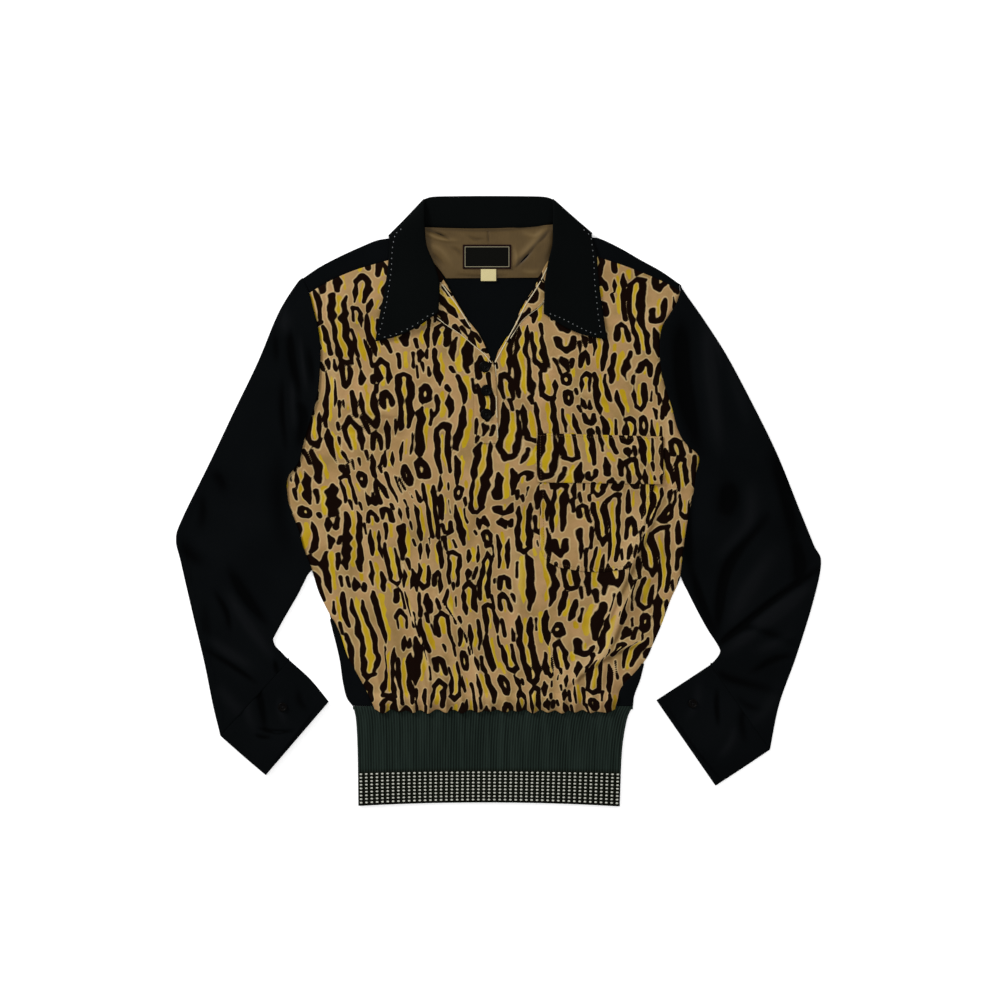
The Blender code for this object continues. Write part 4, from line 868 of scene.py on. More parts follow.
neckKit = {
    "lapelLeftInner": [(-66.0, 265.0), (-52.9, 242.0), (-39.6, 220.3), (-26.4, 203.4), (-19.3, 191.8),
                       (-15.0, 182.0)],
    "lapelLeftOuter": [(-82.0, 240.0), (-76.2, 219.0), (-63.0, 212.4), (-45.0, 200.4), (-27.0, 186.0),
                       (-18.0, 178.6)],
    "lapelRightInner": [(50.0, 266.0), (43.2, 254.4), (31.2, 236.4), (22.8, 217.2), (18.4, 203.8), (8.0, 191.8)],
    "lapelRightOuter": [(66.0, 252.0), (58.0, 243.0), (48.6, 234.0), (34.0, 223.0), (24.6, 213.0), (11.6, 189.4)],
    "placketLeft": [(-29.0, 172.0), (-28.9, 160.0), (-28.8, 130.0), (-28.6, 100.0), (-28.4, 69.6)],
    "placketRight": [(-12.0, 172.0), (-5.8, 162.0), (-2.6, 130.0), (-1.6, 100.0), (-1.0, 69.6)],
}
placket = paintPrint(overlay("placketLap", neckKit["placketLeft"], neckKit["placketRight"], 48, 14, frontHeight,
                             1.25, 1.0, leopard, "placket"))
lapelLeft = paintPrint(overlay("lapelLeft", neckKit["lapelLeftOuter"], neckKit["lapelLeftInner"], 44, 14,
                               frontHeight, 1.25, 1.0, leopard, "lapel_left"), (31.0, -12.0), 30.0)
lapelRight = paintPrint(overlay("lapelRight", neckKit["lapelRightOuter"], neckKit["lapelRightInner"], 44, 12,
                                frontHeight, 1.25, 1.0, leopard, "lapel_right"), (-27.0, 15.0), -30.0)
print("pocket, placket and lapels made")


# Back: one flat panel, and the strips of it that turn round the sides on to the front

backKit = {
    "wall": 1.2, "shoulderLeft": [(-229.6, 256.4), (-209.4, 269.2), (-185.5, 281.6), (-162.5, 292.0),
                                  (-142.0, 300.5), (-121.0, 305.0), (-97.0, 316.0)],
    "shoulderRight": [(215.9, 253.6), (192.0, 264.6), (165.5, 277.8), (141.0, 291.8), (117.5, 302.8),
                      (102.0, 306.0), (76.5, 320.0)],
    "neck": [(-78.0, 325.4), (-10.0, 324.6), (56.0, 327.4)], "turnRadius": 1.1,
    "turnWall": 1.1, "turnRows": 60, "underPrint": 0.6, "leastTurn": 3.2, "belowPrint": 4.0, "turnSwell": 0.5,
}


def patch(left, right, bottom, top):
    # a surface filled in between four edges: sides plus ends less the corners counted twice
    u = np.linspace(0.0, 1.0, len(bottom))[None, :, None]
    v = np.linspace(0.0, 1.0, len(left))[:, None, None]
    sides = (1 - u) * left[:, None] + u * right[:, None]
    ends = (1 - v) * bottom[None] + v * top[None]
    corners = (1 - v) * ((1 - u) * bottom[0] + u * bottom[-1]) + v * ((1 - u) * top[0] + u * top[-1])
    return sides + ends - corners


backTop = np.array(backKit["shoulderLeft"] + backKit["neck"] + backKit["shoulderRight"][::-1]) - (0.0, 0.6)
backTop = along(backTop, np.linspace(0, 1, 90))
backLeft = along(cut["sideLeft"] + cut["armholeLeft"][2:17:2] + [tuple(backTop[0])], np.linspace(0, 1, 110))
backRight = along(cut["sideRight"] + cut["armholeRight"][2:17:2] + [tuple(backTop[-1])], np.linspace(0, 1, 110))
backGrid = patch(backLeft, backRight, np.linspace(backLeft[0], backRight[0], 90), backTop)
inset = np.linspace(-1.0, 1.0, 90)[None, :]
backX = backGrid[..., 0] - 1.2 * np.sign(inset) * np.abs(inset) ** 12
backY = backGrid[..., 1]
backZ = floorGap + neckLift(backX, backY) + 0.1 * np.abs(ripple(backX, backY, 70.0, 41))
back = thickShell("shirtBack", np.stack([backX, backY, backZ], axis=-1), backKit["wall"], black, "back")


def sideTurn(name, sideLine, printEdge, way):
    # from the fold at the side, round and over on to the front, as far as the print
    kit = backKit
    ys = np.linspace(sideLine[0][1], printEdge[-1][1] - kit["belowPrint"], kit["turnRows"])
    edge, inner = xAt(sideLine, ys), xAt(printEdge, ys) + way * kit["underPrint"]
    radius = kit["turnRadius"]
    width = np.maximum(np.abs(edge - inner), kit["leastTurn"])
    inner = edge - way * width
    rows = []
    for a in halfTurn(90):
        out = np.cos(a) * radius
        level = np.full(len(ys), floorGap + radius + radius * np.sin(a))
        rows.append(np.stack([edge - way * (radius - out), ys, level], axis=-1))
    for share in np.linspace(0.12, 1.0, 10):
        x = (edge - way * radius) * (1 - share) + inner * share
        level = np.full(len(ys), floorGap + 2 * radius + kit["turnSwell"] * np.sin(np.pi * share))
        rows.append(np.stack([x, ys, level], axis=-1))
    return thickShell(name, np.array(rows), kit["turnWall"], black, "back")


turnLeft = sideTurn("backTurnLeft", cut["sideLeft"], cut["printEdgeLeft"], -1)
turnRight = sideTurn("backTurnRight", cut["sideRight"], cut["printEdgeRight"], 1)
print("back made")


# Sleeves and cuffs: tubes pressed flat

sleeveKit = {
    "edgeHeight": 3.6, "crown": 1.5, "gap": 0.45, "fine": 12, "straightening": 5.0, "smoothing": 3,
    # outer x, y, inner x, y, how much of the armhole's curve a section keeps and how far that has moved out
    "left": [
        (-234.6, 267.6, -223.3, -82.8, 1.0, 0.0), (-242.6, 260.2, -229.2, -89.2, 1.0, 9.0),
        (-264.2, 225.2, -232.0, -95.0, 0.95, 23.0), (-289.0, 166.0, -236.0, -103.0, 0.84, 40.0),
        (-318.0, 106.0, -241.0, -113.0, 0.68, 54.0), (-346.0, 47.0, -248.0, -125.0, 0.46, 64.0),
        (-379.4, -21.0, -259.0, -144.0, 0.24, 64.0), (-387.0, -46.0, -267.5, -160.0, 0.1, 64.0),
        (-381.0, -74.0, -270.2, -166.0, 0.0, 0.0), (-366.0, -139.0, -267.6, -174.0, 0.0, 0.0),
        (-352.8, -194.4, -261.0, -180.6, 0.0, 0.0), (-342.6, -244.8, -255.6, -186.4, 0.0, 0.0),
        (-333.6, -281.6, -250.8, -190.8, 0.0, 0.0),
    ],
    "right": [
        (216.3, 261.0, 217.8, -90.0, 1.0, 0.0), (224.0, 249.4, 222.4, -100.0, 1.0, 9.0),
        (246.0, 218.0, 226.6, -108.0, 0.95, 23.0), (273.0, 176.0, 231.0, -117.0, 0.84, 40.0),
        (303.0, 120.0, 236.6, -128.0, 0.68, 54.0), (334.0, 57.0, 244.0, -142.0, 0.46, 64.0),
        (361.0, -10.0, 252.0, -156.0, 0.28, 64.0), (378.0, -52.0, 260.0, -168.0, 0.12, 64.0),
        (387.0, -74.0, 265.2, -177.0, 0.04, 64.0), (377.4, -121.2, 265.8, -181.0, 0.0, 0.0),
        (357.0, -187.0, 263.6, -186.0, 0.0, 0.0), (337.0, -243.0, 259.0, -191.6, 0.0, 0.0),
        (325.6, -298.2, 254.0, -196.4, 0.0, 0.0),
    ],
    "foldsLeft": [
        (-250, 208, -246, 170, -237, 125, 3.2, 5.5, -1.9), (-240, 120, -233, 100, -238, 66, 5, 6, -1.9),
        (-238, 198, -234, 165, -229, 132, 2.5, 3, 1.0), (-228, 185, -224, 160, -222, 138, 4, 5, -1.0),
        (-247, 145, -246, 120, -244, 88, 4, 4, 1.0), (-259, 145, -259, 108, -254, 62, 3, 4, -1.1),
        (-262, 232, -256, 212, -252, 196, 8, 6, 1.1), (-268, 200, -267, 185, -266, 165, 4, 4, -0.8),
        (-262, 60, -264, 0, -252, -60, 10, 12, -0.8), (-342, 36, -334, 26, -326, 10, 6, 7, -0.9),
        (-356, 8, -354, -12, -356, -34, 5, 6, -0.8), (-384, -40, -372, -62, -352, -76, 9, 8, -1.1),
        (-323, -83, -302, -118, -276, -150, 7, 5, -1.6), (-340, -108, -326, -133, -321, -156, 3, 4, -1.3),
        (-325, -108, -304, -143, -268, -192, 6, 6, 1.3), (-354, -176, -317, -199, -290, -218, 2.6, 3.4, -1.4),
        (-356, -160, -322, -184, -296, -200, 7, 5, 1.1), (-268, -190, -267, -198, -264, -210, 3, 3, -1.2),
        (-338, -222, -322, -240, -302, -262, 8, 7, 0.8), (-352, -120, -350, -150, -344, -180, 6, 7, -0.7),
    ],
    "foldsRight": [
        (219, 215, 223, 140, 240, 62, 9, 11, -2.1), (250, 225, 256, 150, 266, 60, 7, 9, 1.5),
        (270, 190, 285, 140, 300, 90, 7, 7, 0.7), (250, 215, 262, 190, 268, 160, 2.5, 3, 0.8),
        (274, 24, 277, 4, 270, -20, 12, 13, -1.9), (228, 20, 226, -30, 230, -84, 6, 7, -1.6),
        (232, -82, 244, -120, 258, -158, 4, 6, -1.6), (330, 60, 344, 10, 356, -50, 8, 8, -1.6),
        (356, -48, 362, -75, 358, -96, 7, 8, -1.8), (322, -19, 276, -80, 262, -158, 5, 7, -2.1),
        (304, 20, 300, -30, 262, -70, 9, 8, 1.1), (330, -60, 300, -105, 276, -150, 10, 9, 1.2),
        (386, -80, 326, -121, 264, -172, 4, 3, -2.6), (378, -98, 330, -138, 272, -182, 7, 9, 1.7),
        (265, -170, 300, -152, 358, -172, 5, 5, -1.3), (304, -205, 330, -190, 354, -184, 4, 4, -1.3),
        (262, -204, 280, -214, 340, -230, 5, 5, -1.0), (310, -180, 330, -172, 352, -160, 6, 6, 0.9),
        (338, -215, 326, -245, 300, -272, 7, 8, 0.7), (285, -235, 300, -246, 318, -250, 4, 4, -0.8),
    ],
}


def movedOut(points, distance):
    # the armhole moved away from the body, square to its own direction, and straighter as it goes
    step = unit(np.diff(points, axis=0))
    way = unit(np.vstack([step[:1], step]) + np.vstack([step, step[-1:]]))
    side = math.copysign(1.0, points[0, 0])
    moved = points + distance * side * leftOf(way)
    for _ in range(int(distance / sleeveKit["straightening"])):
        moved[1:-1] = (moved[:-2] + 2 * moved[1:-1] + moved[2:]) / 4
    return moved


def acrossRow(row, armhole, t):
    # places at these shares of the way over a section, on a line that keeps some of the armhole's curve
    outerEnd, innerEnd = np.array(row[:2]), np.array(row[2:4])
    t = np.asarray(t)[:, None]
    place = outerEnd + (innerEnd - outerEnd) * t
    if row[4] > 0.0:
        curve = movedOut(armhole, row[5])
        length = lineLength(armhole)
        number = np.interp(t[:, 0] * length[-1], length, np.arange(len(length)))
        bent = spline(curve, 16)
        bent = np.stack([np.interp(number * 16, np.arange(len(bent)), c) for c in bent.T], axis=-1)
        bent = bent + (outerEnd - curve[0]) * (1 - t) ** 3 + (innerEnd - curve[-1]) * t**3
        place = place + row[4] * (bent - place)
    return place


tubeKit = {
    # places near a pressed edge, where the even ones between them start, and how round the edge is
    "margins": (0.0, 0.25, 0.7, 1.3, 2.1, 3.4), "middleFrom": 5.0, "round": 2.1, "least": 0.4,
    "grain": (0.16, 38.0, 51), "underGrain": (0.08, 60.0, 52),
    # the rings at an end: how far out along the tube and how much of the height is left
    "lip": (0.4, 0.72), "closed": (-3.0, 0.05), "lining": (0.35, 0.004),
    "opened": ((0.0, 0.8), (-1.5, 0.62), (-30.0, 0.5), (-40.0, 0.02)),
}


def flatTube(name, rows, armhole, height, crown, table, columns, material, piece, openEnd):
    # round the tube: from one pressed edge over the top to the other and back underneath
    margins = np.array(tubeKit["margins"])
    inner = np.linspace(0.0, 1.0, columns + 2)[1:-1]
    widths = np.array([math.dist(r[:2], r[2:4]) for r in rows])
    flat = []
    for row, width in zip(rows, widths):
        start = tubeKit["middleFrom"] / width
        middle = start + (1 - 2 * start) * inner
        flat.append(acrossRow(row, armhole, np.concatenate([margins / width, middle, 1 - margins[::-1] / width])))
    flat = np.array(flat)
    curved = max(1, sum(row[4] > 0.0 for row in rows))
    body = flat[:, 6:-6]
    for _ in range(sleeveKit["smoothing"]):
        body[1:curved] = (body[:curved - 1] + 2 * body[1:curved] + body[2:curved + 1]) / 4
    fine = spline(flat.reshape(len(rows), -1), sleeveKit["fine"]).reshape(-1, flat.shape[1], 2)
    count = fine.shape[1]
    x, y = fine[..., 0], fine[..., 1]
    near = np.full(count, 9.0)
    near[:6], near[-6:] = margins, margins[::-1]
    swell = np.sqrt(np.clip(1.0 - (1.0 - np.minimum(near / tubeKit["round"], 1.0)) ** 2, 0.0, 1.0))
    share = np.linspace(0.0, 1.0, count)
    half = height / 2.0
    (grain, *grainKind), (under, *underKind) = tubeKit["grain"], tubeKit["underGrain"]
    relief = (crown + folds(x, y, table) + grain * ripple(x, y, *grainKind)) * np.sin(np.pi * share) ** 0.4
    relief = np.maximum(relief, tubeKit["least"] - half)
    top = half + (half + relief) * swell
    bottom = half - half * swell + under * np.abs(ripple(x, y, *underKind)) * swell
    ring = np.concatenate([np.stack([x, y, top], axis=-1), np.stack([x, y, bottom], axis=-1)[:, -2:0:-1]], axis=1)
    turned = lambda base, into, squeeze: np.concatenate([
        base[:, :2] + into, half + (base[:, 2:] - half) * squeeze], axis=1)
    lead = unit(ring[0].mean(axis=0)[:2] - ring[3].mean(axis=0)[:2])
    tail = unit(ring[-1].mean(axis=0)[:2] - ring[-4].mean(axis=0)[:2])
    ends = tubeKit["closed"], tubeKit["lip"]
    stations = [turned(ring[0], out * lead, squeeze) for out, squeeze in ends] + list(ring)
    if openEnd:
        middle = ring[-1].mean(axis=0)[:2]
        past, narrower = tubeKit["lining"]
        lining = ring[-1] + np.append(past * tail, 0.0)
        lining[:, :2] += (middle - lining[:, :2]) * narrower
        bases = (lining, ring[-1], ring[-1], ring[-1])
        stations += [turned(base, out * tail, squeeze) for base, (out, squeeze) in zip(bases, tubeKit["opened"])]
    else:
        stations += [turned(ring[-1], out * tail, squeeze) for out, squeeze in ends[::-1]]
    surface = np.array(stations)
    quads = indexQuads(numbered(*surface.shape[:2], closed=True))
    return addFoldShading(outward(meshPiece(name, surface.reshape(-1, 3), quads, material, piece)), table)


def sleeve(name, rows, armhole, side, table, piece):
    seam = np.array(armhole[::-1]) + (side * sleeveKit["gap"], 0.0)
    ox, oy, ix, iy = rows[0][:4]
    first = (ox + side * sleeveKit["gap"], oy, ix + side * sleeveKit["gap"], iy, 1.0, 0.0)
    return flatTube(name, [first] + rows[1:], seam, sleeveKit["edgeHeight"], sleeveKit["crown"], table, 96,
                    black, piece, False)


sleeveLeft = sleeve("sleeveLeft", sleeveKit["left"], cut["armholeLeft"], -1, sleeveKit["foldsLeft"], "sleeve_left")
sleeveRight = sleeve("sleeveRight", sleeveKit["right"], cut["armholeRight"], 1, sleeveKit["foldsRight"],
                     "sleeve_right")

cuffKit = {
    "height": 4.4, "crown": 0.4,
    "left": [(-333.3, -281.9, -250.5, -191.1, 0.0, 0.0), (-306.0, -306.0, -226.0, -213.4, 0.0, 0.0),
             (-279.4, -328.6, -203.8, -240.4, 0.0, 0.0)],
    "right": [(325.3, -298.5, 253.7, -196.7, 0.0, 0.0), (292.6, -320.4, 221.4, -218.0, 0.0, 0.0),
              (260.6, -341.4, 189.6, -238.8, 0.0, 0.0)],
    "folds": [
        (-291, -220, -285, -240, -279, -276, 3.5, 4, -1.6), (-262, -236, -262, -250, -255, -268, 5, 4, 0.9),
        (-288, -272, -268, -277, -246, -276, 2.4, 2.6, -1.4), (-292, -280, -284, -283, -272, -284, 2.4, 2.4, -1.2),
        (-218, -249, -244, -284, -274, -320, 1.6, 1.6, -0.8), (-300, -232, -300, -256, -292, -276, 6, 5, 0.8),
        (-240, -226, -238, -240, -230, -252, 4, 4, -0.8), (262, -226, 262, -248, 264, -270, 3, 3, -1.5),
        (240, -216, 238, -240, 226, -262, 6, 5, 0.8), (284, -270, 278, -290, 265, -308, 6, 4, 0.9),
        (300, -240, 292, -262, 296, -290, 4, 5, -1.0), (202, -247, 232, -292, 266, -334, 1.6, 1.6, -0.8),
    ],
}
cuffRows = {way: [tuple(r) for r in spline(np.array(cuffKit[way]), 3)] for way in ("left", "right")}
cuffLeft = flatTube("cuffLeft", cuffRows["left"], None, cuffKit["height"], cuffKit["crown"], cuffKit["folds"], 60,
                    black, "cuff_left", True)
cuffRight = flatTube("cuffRight", cuffRows["right"], None, cuffKit["height"], cuffKit["crown"], cuffKit["folds"],
                     60, black, "cuff_right", True)
print("sleeves and cuffs made")


# Shoulder pieces: strips folded over the shoulder

yokeKit = {
    "wall": 1.1, "plies": 2.6, "span": (0.004, 0.985), "short": 0.5, "endHeight": 2.5,
    # the dip at the seam with the print: how deep, the strip's length and how wide the dip is
    "dip": (0.7, 22.0, 2.2), "grain": (0.12, 26.0, 61),
    # fold x, y, z of the lower ply, and x, y where the lower ply meets the back
    "left": [
        (-234.0, 266.8, 0.6, -229.6, 256.4), (-214.2, 280.2, 0.6, -209.4, 269.2),
        (-190.2, 292.8, 0.6, -185.5, 281.6), (-166.8, 303.5, 0.9, -162.5, 292.0),
        (-146.0, 312.0, 1.8, -142.0, 300.5), (-126.0, 316.0, 2.3, -121.0, 305.0),
        (-103.0, 327.0, 2.3, -97.0, 316.0),
    ],
    "right": [
        (216.3, 260.2, 0.6, 216.6, 253.2), (194.4, 275.4, 0.6, 192.0, 264.6), (169.8, 289.0, 0.6, 165.5, 277.8),
        (145.8, 302.8, 0.9, 141.0, 291.8), (122.0, 314.0, 1.8, 117.5, 302.8), (107.0, 317.0, 2.3, 102.0, 306.0),
        (82.0, 331.0, 2.3, 76.5, 320.0),
    ],
}


def shoulder(name, table, printTop, piece):
    rows = spline(np.array(table), 12)
    end = along(printTop, np.linspace(*yokeKit["span"], len(rows)))
    fold, low, behind = rows[:, :2], rows[:, 2:3], rows[:, 3:]
    down = unit(end - fold)
    end = end - down * yokeKit["short"]
    radius = yokeKit["plies"] / 2
    turn = fold + down * radius
    path = [np.hstack([behind * (1 - s) + turn * s, low]) for s in (0.0, 0.33, 0.67, 1.0)]
    for a in halfTurn(75):
        path.append(np.hstack([turn - down * radius * math.cos(a), low + radius + radius * math.sin(a)]))
    endZ = yokeKit["endHeight"] + 1.2 * neckLift(end[:, :1], end[:, 1:] + 10.0)
    top = low + 2 * radius
    (deep, long, wide), (grain, size, seed) = yokeKit["dip"], yokeKit["grain"]
    for s in np.linspace(0.0, 1.0, 14):
        flat = turn + (end - turn) * s
        dip = -deep * np.exp(-((1 - s) * long / wide) ** 2)
        z = top + (endZ - top) * s + dip + grain * ripple(flat[:, :1], flat[:, 1:], size, seed)
        path.append(np.hstack([flat, z]))
    return thickShell(name, np.array(path), yokeKit["wall"], black, piece)


yokeLeft = shoulder("yokeLeft", yokeKit["left"], cut["printTopLeft"], "yoke_left")
yokeRight = shoulder("yokeRight", yokeKit["right"], cut["printTopRight"], "yoke_right")
print("shoulders made")


# Collar: one strip, from its left front end round the back of the neck to its right front end

collarKit = {
    "wall": 1.2, "roll": 1.1, "bow": 6.4, "bowRows": 16.0, "lift": 0.55,
    # the dip under the pick stitches: how deep, the leaf's depth, how far from the edge and how wide
    "dip": (0.3, 62.0, 4.6, 1.4),
    # the seam at the neck, the roll line and the outer edge, x, y and z each, and the way the outside faces
    "rows": [
        (-80.0, 229.0, 5.9, -73.8, 225.4, 6.9, -147.4, 191.8, 4.9, 90),
        (-79.0, 243.0, 6.1, -72.4, 241.5, 7.2, -142.6, 221.0, 5.0, 90),
        (-80.0, 263.0, 6.6, -72.6, 262.0, 7.7, -137.6, 246.0, 5.0, 90),
        (-87.0, 284.0, 6.8, -78.6, 284.0, 7.9, -133.6, 271.0, 5.2, 90),
        (-96.0, 303.0, 7.0, -87.4, 305.0, 8.1, -131.0, 295.0, 6.6, 90),
        (-101.0, 318.0, 7.2, -89.8, 328.0, 8.3, -130.2, 309.0, 7.0, 90),
        (-103.5, 328.5, 6.6, -90.0, 348.0, 7.4, -131.2, 315.5, 6.2, 62),
        (-102.0, 333.0, 4.4, -89.6, 359.0, 4.4, -131.4, 318.4, 3.6, 0),
        (-94.0, 333.0, 3.2, -88.4, 361.0, 2.4, -127.0, 315.5, 1.1, -62),
        (-74.0, 329.0, 3.3, -78.0, 363.6, 1.7, -108.0, 307.5, 0.6, -90),
        (-44.0, 327.6, 3.4, -48.0, 364.1, 1.7, -60.0, 305.6, 0.6, -90),
        (-10.0, 327.2, 3.4, -12.0, 364.3, 1.7, -12.0, 305.0, 0.6, -90),
        (24.0, 328.0, 3.4, 26.0, 364.1, 1.7, 36.0, 305.6, 0.6, -90),
        (50.0, 330.0, 3.3, 54.0, 363.6, 1.7, 86.0, 308.0, 0.6, -90),
        (72.0, 335.0, 3.2, 64.4, 361.0, 2.4, 106.0, 318.4, 1.1, -62),
        (82.0, 336.0, 4.4, 66.0, 359.0, 4.4, 111.6, 321.4, 3.6, 0),
        (84.0, 331.5, 6.6, 67.0, 348.0, 7.4, 111.6, 318.0, 6.2, 62),
        (82.0, 320.0, 7.2, 66.6, 328.0, 8.3, 113.4, 309.0, 7.0, 90),
        (78.0, 306.0, 7.0, 66.0, 307.0, 8.1, 117.4, 296.0, 6.6, 90),
        (70.0, 286.0, 6.9, 61.0, 286.0, 8.0, 119.2, 272.0, 5.2, 90),
        (64.0, 262.0, 6.7, 57.2, 262.0, 7.8, 122.0, 247.0, 5.0, 90),
        (62.0, 241.0, 6.2, 56.4, 241.0, 7.3, 125.8, 221.0, 5.0, 90),
        (61.5, 226.0, 5.9, 55.8, 224.0, 6.9, 129.8, 194.2, 4.9, 90),
    ],
}


def collarSurface():
    # across: from the seam up the stand, round the roll and down the fall to the outer edge
    rows = spline(np.array(collarKit["rows"]), 10)
    seam, roll, outer = rows[:, 0:3], rows[:, 3:6], rows[:, 6:9]
    facing = np.radians(rows[:, 9:10])
    away = outer - roll
    away[:, 2] = 0.0
    away = unit(away)
    flip = np.where(roll[:, :1] < -10.0, -1.0, 1.0)
    side = flip * np.stack([away[:, 1], -away[:, 0], 0 * away[:, 0]], axis=-1)
    normal = np.cos(facing) * -side + np.sin(facing) * np.array([0.0, 0.0, 1.0])
    radius = collarKit["roll"]
    inside, outside = roll - normal * radius, roll + normal * radius
    path = [seam + (inside - seam) * s for s in np.linspace(0.0, 1.0, 9)[:-1]]
    for a in halfTurn(90):
        path.append(roll - away * radius * math.cos(a) + normal * radius * math.sin(a))
    # the front edges of the leaves bow down a little between their corners
    fromEnd = np.minimum(np.arange(len(rows)), np.arange(len(rows))[::-1])[:, None]
    down = collarKit["bow"] * ease(1.0 - fromEnd / collarKit["bowRows"]) * np.array([0.0, -1.0, 0.0])
    deep, leaf, inward, wide = collarKit["dip"]
    for s in np.linspace(0.0, 1.0, 30)[1:]:
        dip = deep * math.exp(-(((1 - s) * leaf - inward) / wide) ** 2)
        lift = collarKit["lift"] * math.sin(math.pi * s ** 0.7) - dip
        # only the leaves that face up are raised: what is folded behind lies flat on the floor
        raised = normal * lift * np.clip(normal[:, 2:], 0.0, 1.0)
        path.append(outside + (outer - outside) * s + raised + down * math.sin(math.pi * s))
    return np.array(path)


collar = thickShell("shirtCollar", collarSurface(), collarKit["wall"], blueBlack, "collar")
print("collar made")


# Inside the neck: satin facing, label and size tab

facingKit = {
    "left": [(-62.8, 267.4), (-70.0, 277.0), (-80.0, 289.0), (-89.0, 302.5), (-96.0, 315.0), (-95.0, 328.4)],
    "right": [(47.2, 268.2), (51.0, 273.0), (60.0, 286.0), (69.0, 301.0), (76.0, 316.0), (74.0, 332.0)],
    "folds": [
        (-88, 322, -70, 314, -48, 312, 3, 2, 0.9), (-88, 326, -68, 319, -56, 312, 1.6, 1.6, -0.8),
        (-84, 308, -68, 300, -56, 284, 5, 4, 0.6), (-80, 297, -73, 291, -66, 283, 2, 2.5, -0.6),
        (22, 290, 36, 302, 58, 326, 5, 3, 0.8), (18, 278, 32, 292, 46, 309, 2, 2, -0.8),
        (46, 309, 54, 316, 62, 326, 1.8, 2, -0.6), (66, 326, 68, 308, 60, 288, 4, 5, -0.9),
        (30, 322, 44, 318, 56, 326, 3, 3, 0.6), (-12.5, 326, -12, 316, -12, 308, 0.9, 0.9, -0.7),
        (-50, 271, -20, 269, 10, 270, 2, 2, -0.5), (28, 276, 40, 274, 50, 276, 3, 3, 0.5),
        (-56, 304, -48, 300, -44, 294, 2, 2, -0.5), (-36, 318, -28, 314, -18, 314, 1.5, 2, -0.5),
        (20, 304, 22, 292, 20, 280, 2, 3, 0.6), (-94, 327.5, -10, 324.5, 74, 330.5, 1.2, 2.2, -0.6),
    ],
    "labelX": (-42.6, 15.0), "labelY": (278.4, 307.2), "tabX": (-21.0, -3.0), "tabY": (264.0, 277.8), "level": 1.2,
}


def facingHeight(x, y):
    return facingKit["level"] + neckLift(x, y) + 2.0 * folds(x, y, facingKit["folds"]) + 0.15 * ripple(x, y, 14.0, 71)


def labelHeight(x, y):
    return facingKit["level"] + neckLift(x, y) + 0.12 * ripple(x, y, 30.0, 72)


facing = addFoldShading(overlay("neckFacing", facingKit["left"], facingKit["right"], 60, 110, facingHeight, 1.3, 0.9,
                         satin, "neck_facing", 3.6), facingKit["folds"])


def smallLabel(name, xs, ys, lift, material, piece):
    # an upright rectangle with its distance to the nearest edge, in mm, as an attribute
    made = overlay(name, [(xs[0], ys[0]), (xs[0], ys[1])], [(xs[1], ys[0]), (xs[1], ys[1])],
                   int((ys[1] - ys[0]) * 2.5), int((xs[1] - xs[0]) * 2.5), labelHeight, lift, 0.5, material, piece,
                   tuck=0.7)
    x, y = placesOf(made)
    setField(made, "edge", np.minimum(np.minimum(x - xs[0], xs[1] - x), np.minimum(y - ys[0], ys[1] - y)))
    return made


label = smallLabel("bareLabel", facingKit["labelX"], facingKit["labelY"], 2.5, labelCloth, "label")
tab = smallLabel("sizeTab", facingKit["tabX"], facingKit["tabY"], 2.4, tabCloth, "size_tab")
print("neck finished")


# Waistband: a rib tube with a border of stitches near the hem

waistKit = {
    # y at the left, in the middle and at the right, left x and right x
    "rows": [
        (-246.0, -246.0, -246.0, -174.6, 161.2), (-262.0, -262.0, -262.0, -171.0, 154.2),
        (-300.0, -299.0, -300.0, -169.0, 148.2), (-365.4, -361.2, -366.0, -168.1, 145.4),
    ],
    "ribs": 99, "ribDepth": 0.6, "height": 4.0, "perRib": 6, "downRows": 20, "across": 320.0, "deep": 118.0,
    "sideRound": 2.2, "hemRound": 1.6, "grain": (0.15, 60.0, 81),
    "borderTop": 0.645, "stitchRows": 9, "stitchColumns": 49, "stitchSize": (3.3, 1.95), "stitchBand": (0.69, 0.972),
    "stitchZ": 4.72,
}


def waistPlace(share, down):
    # a place on the band from its share across and its share of the way from the seam to the hem
    rows = spline(np.array(waistKit["rows"], float), 12)
    length, numbers = lineLength(rows[:, [1]]), np.arange(len(rows))
    at = np.interp(np.asarray(down, float), length / length[-1], numbers)
    leftY, middleY, rightY, leftX, rightX = (np.interp(at, numbers, c) for c in rows.T)
    x = leftX + (rightX - leftX) * share
    bow = 1.0 - (2.0 * share - 1.0) ** 2
    return x, leftY + (rightY - leftY) * share + (middleY - (leftY + rightY) / 2) * bow


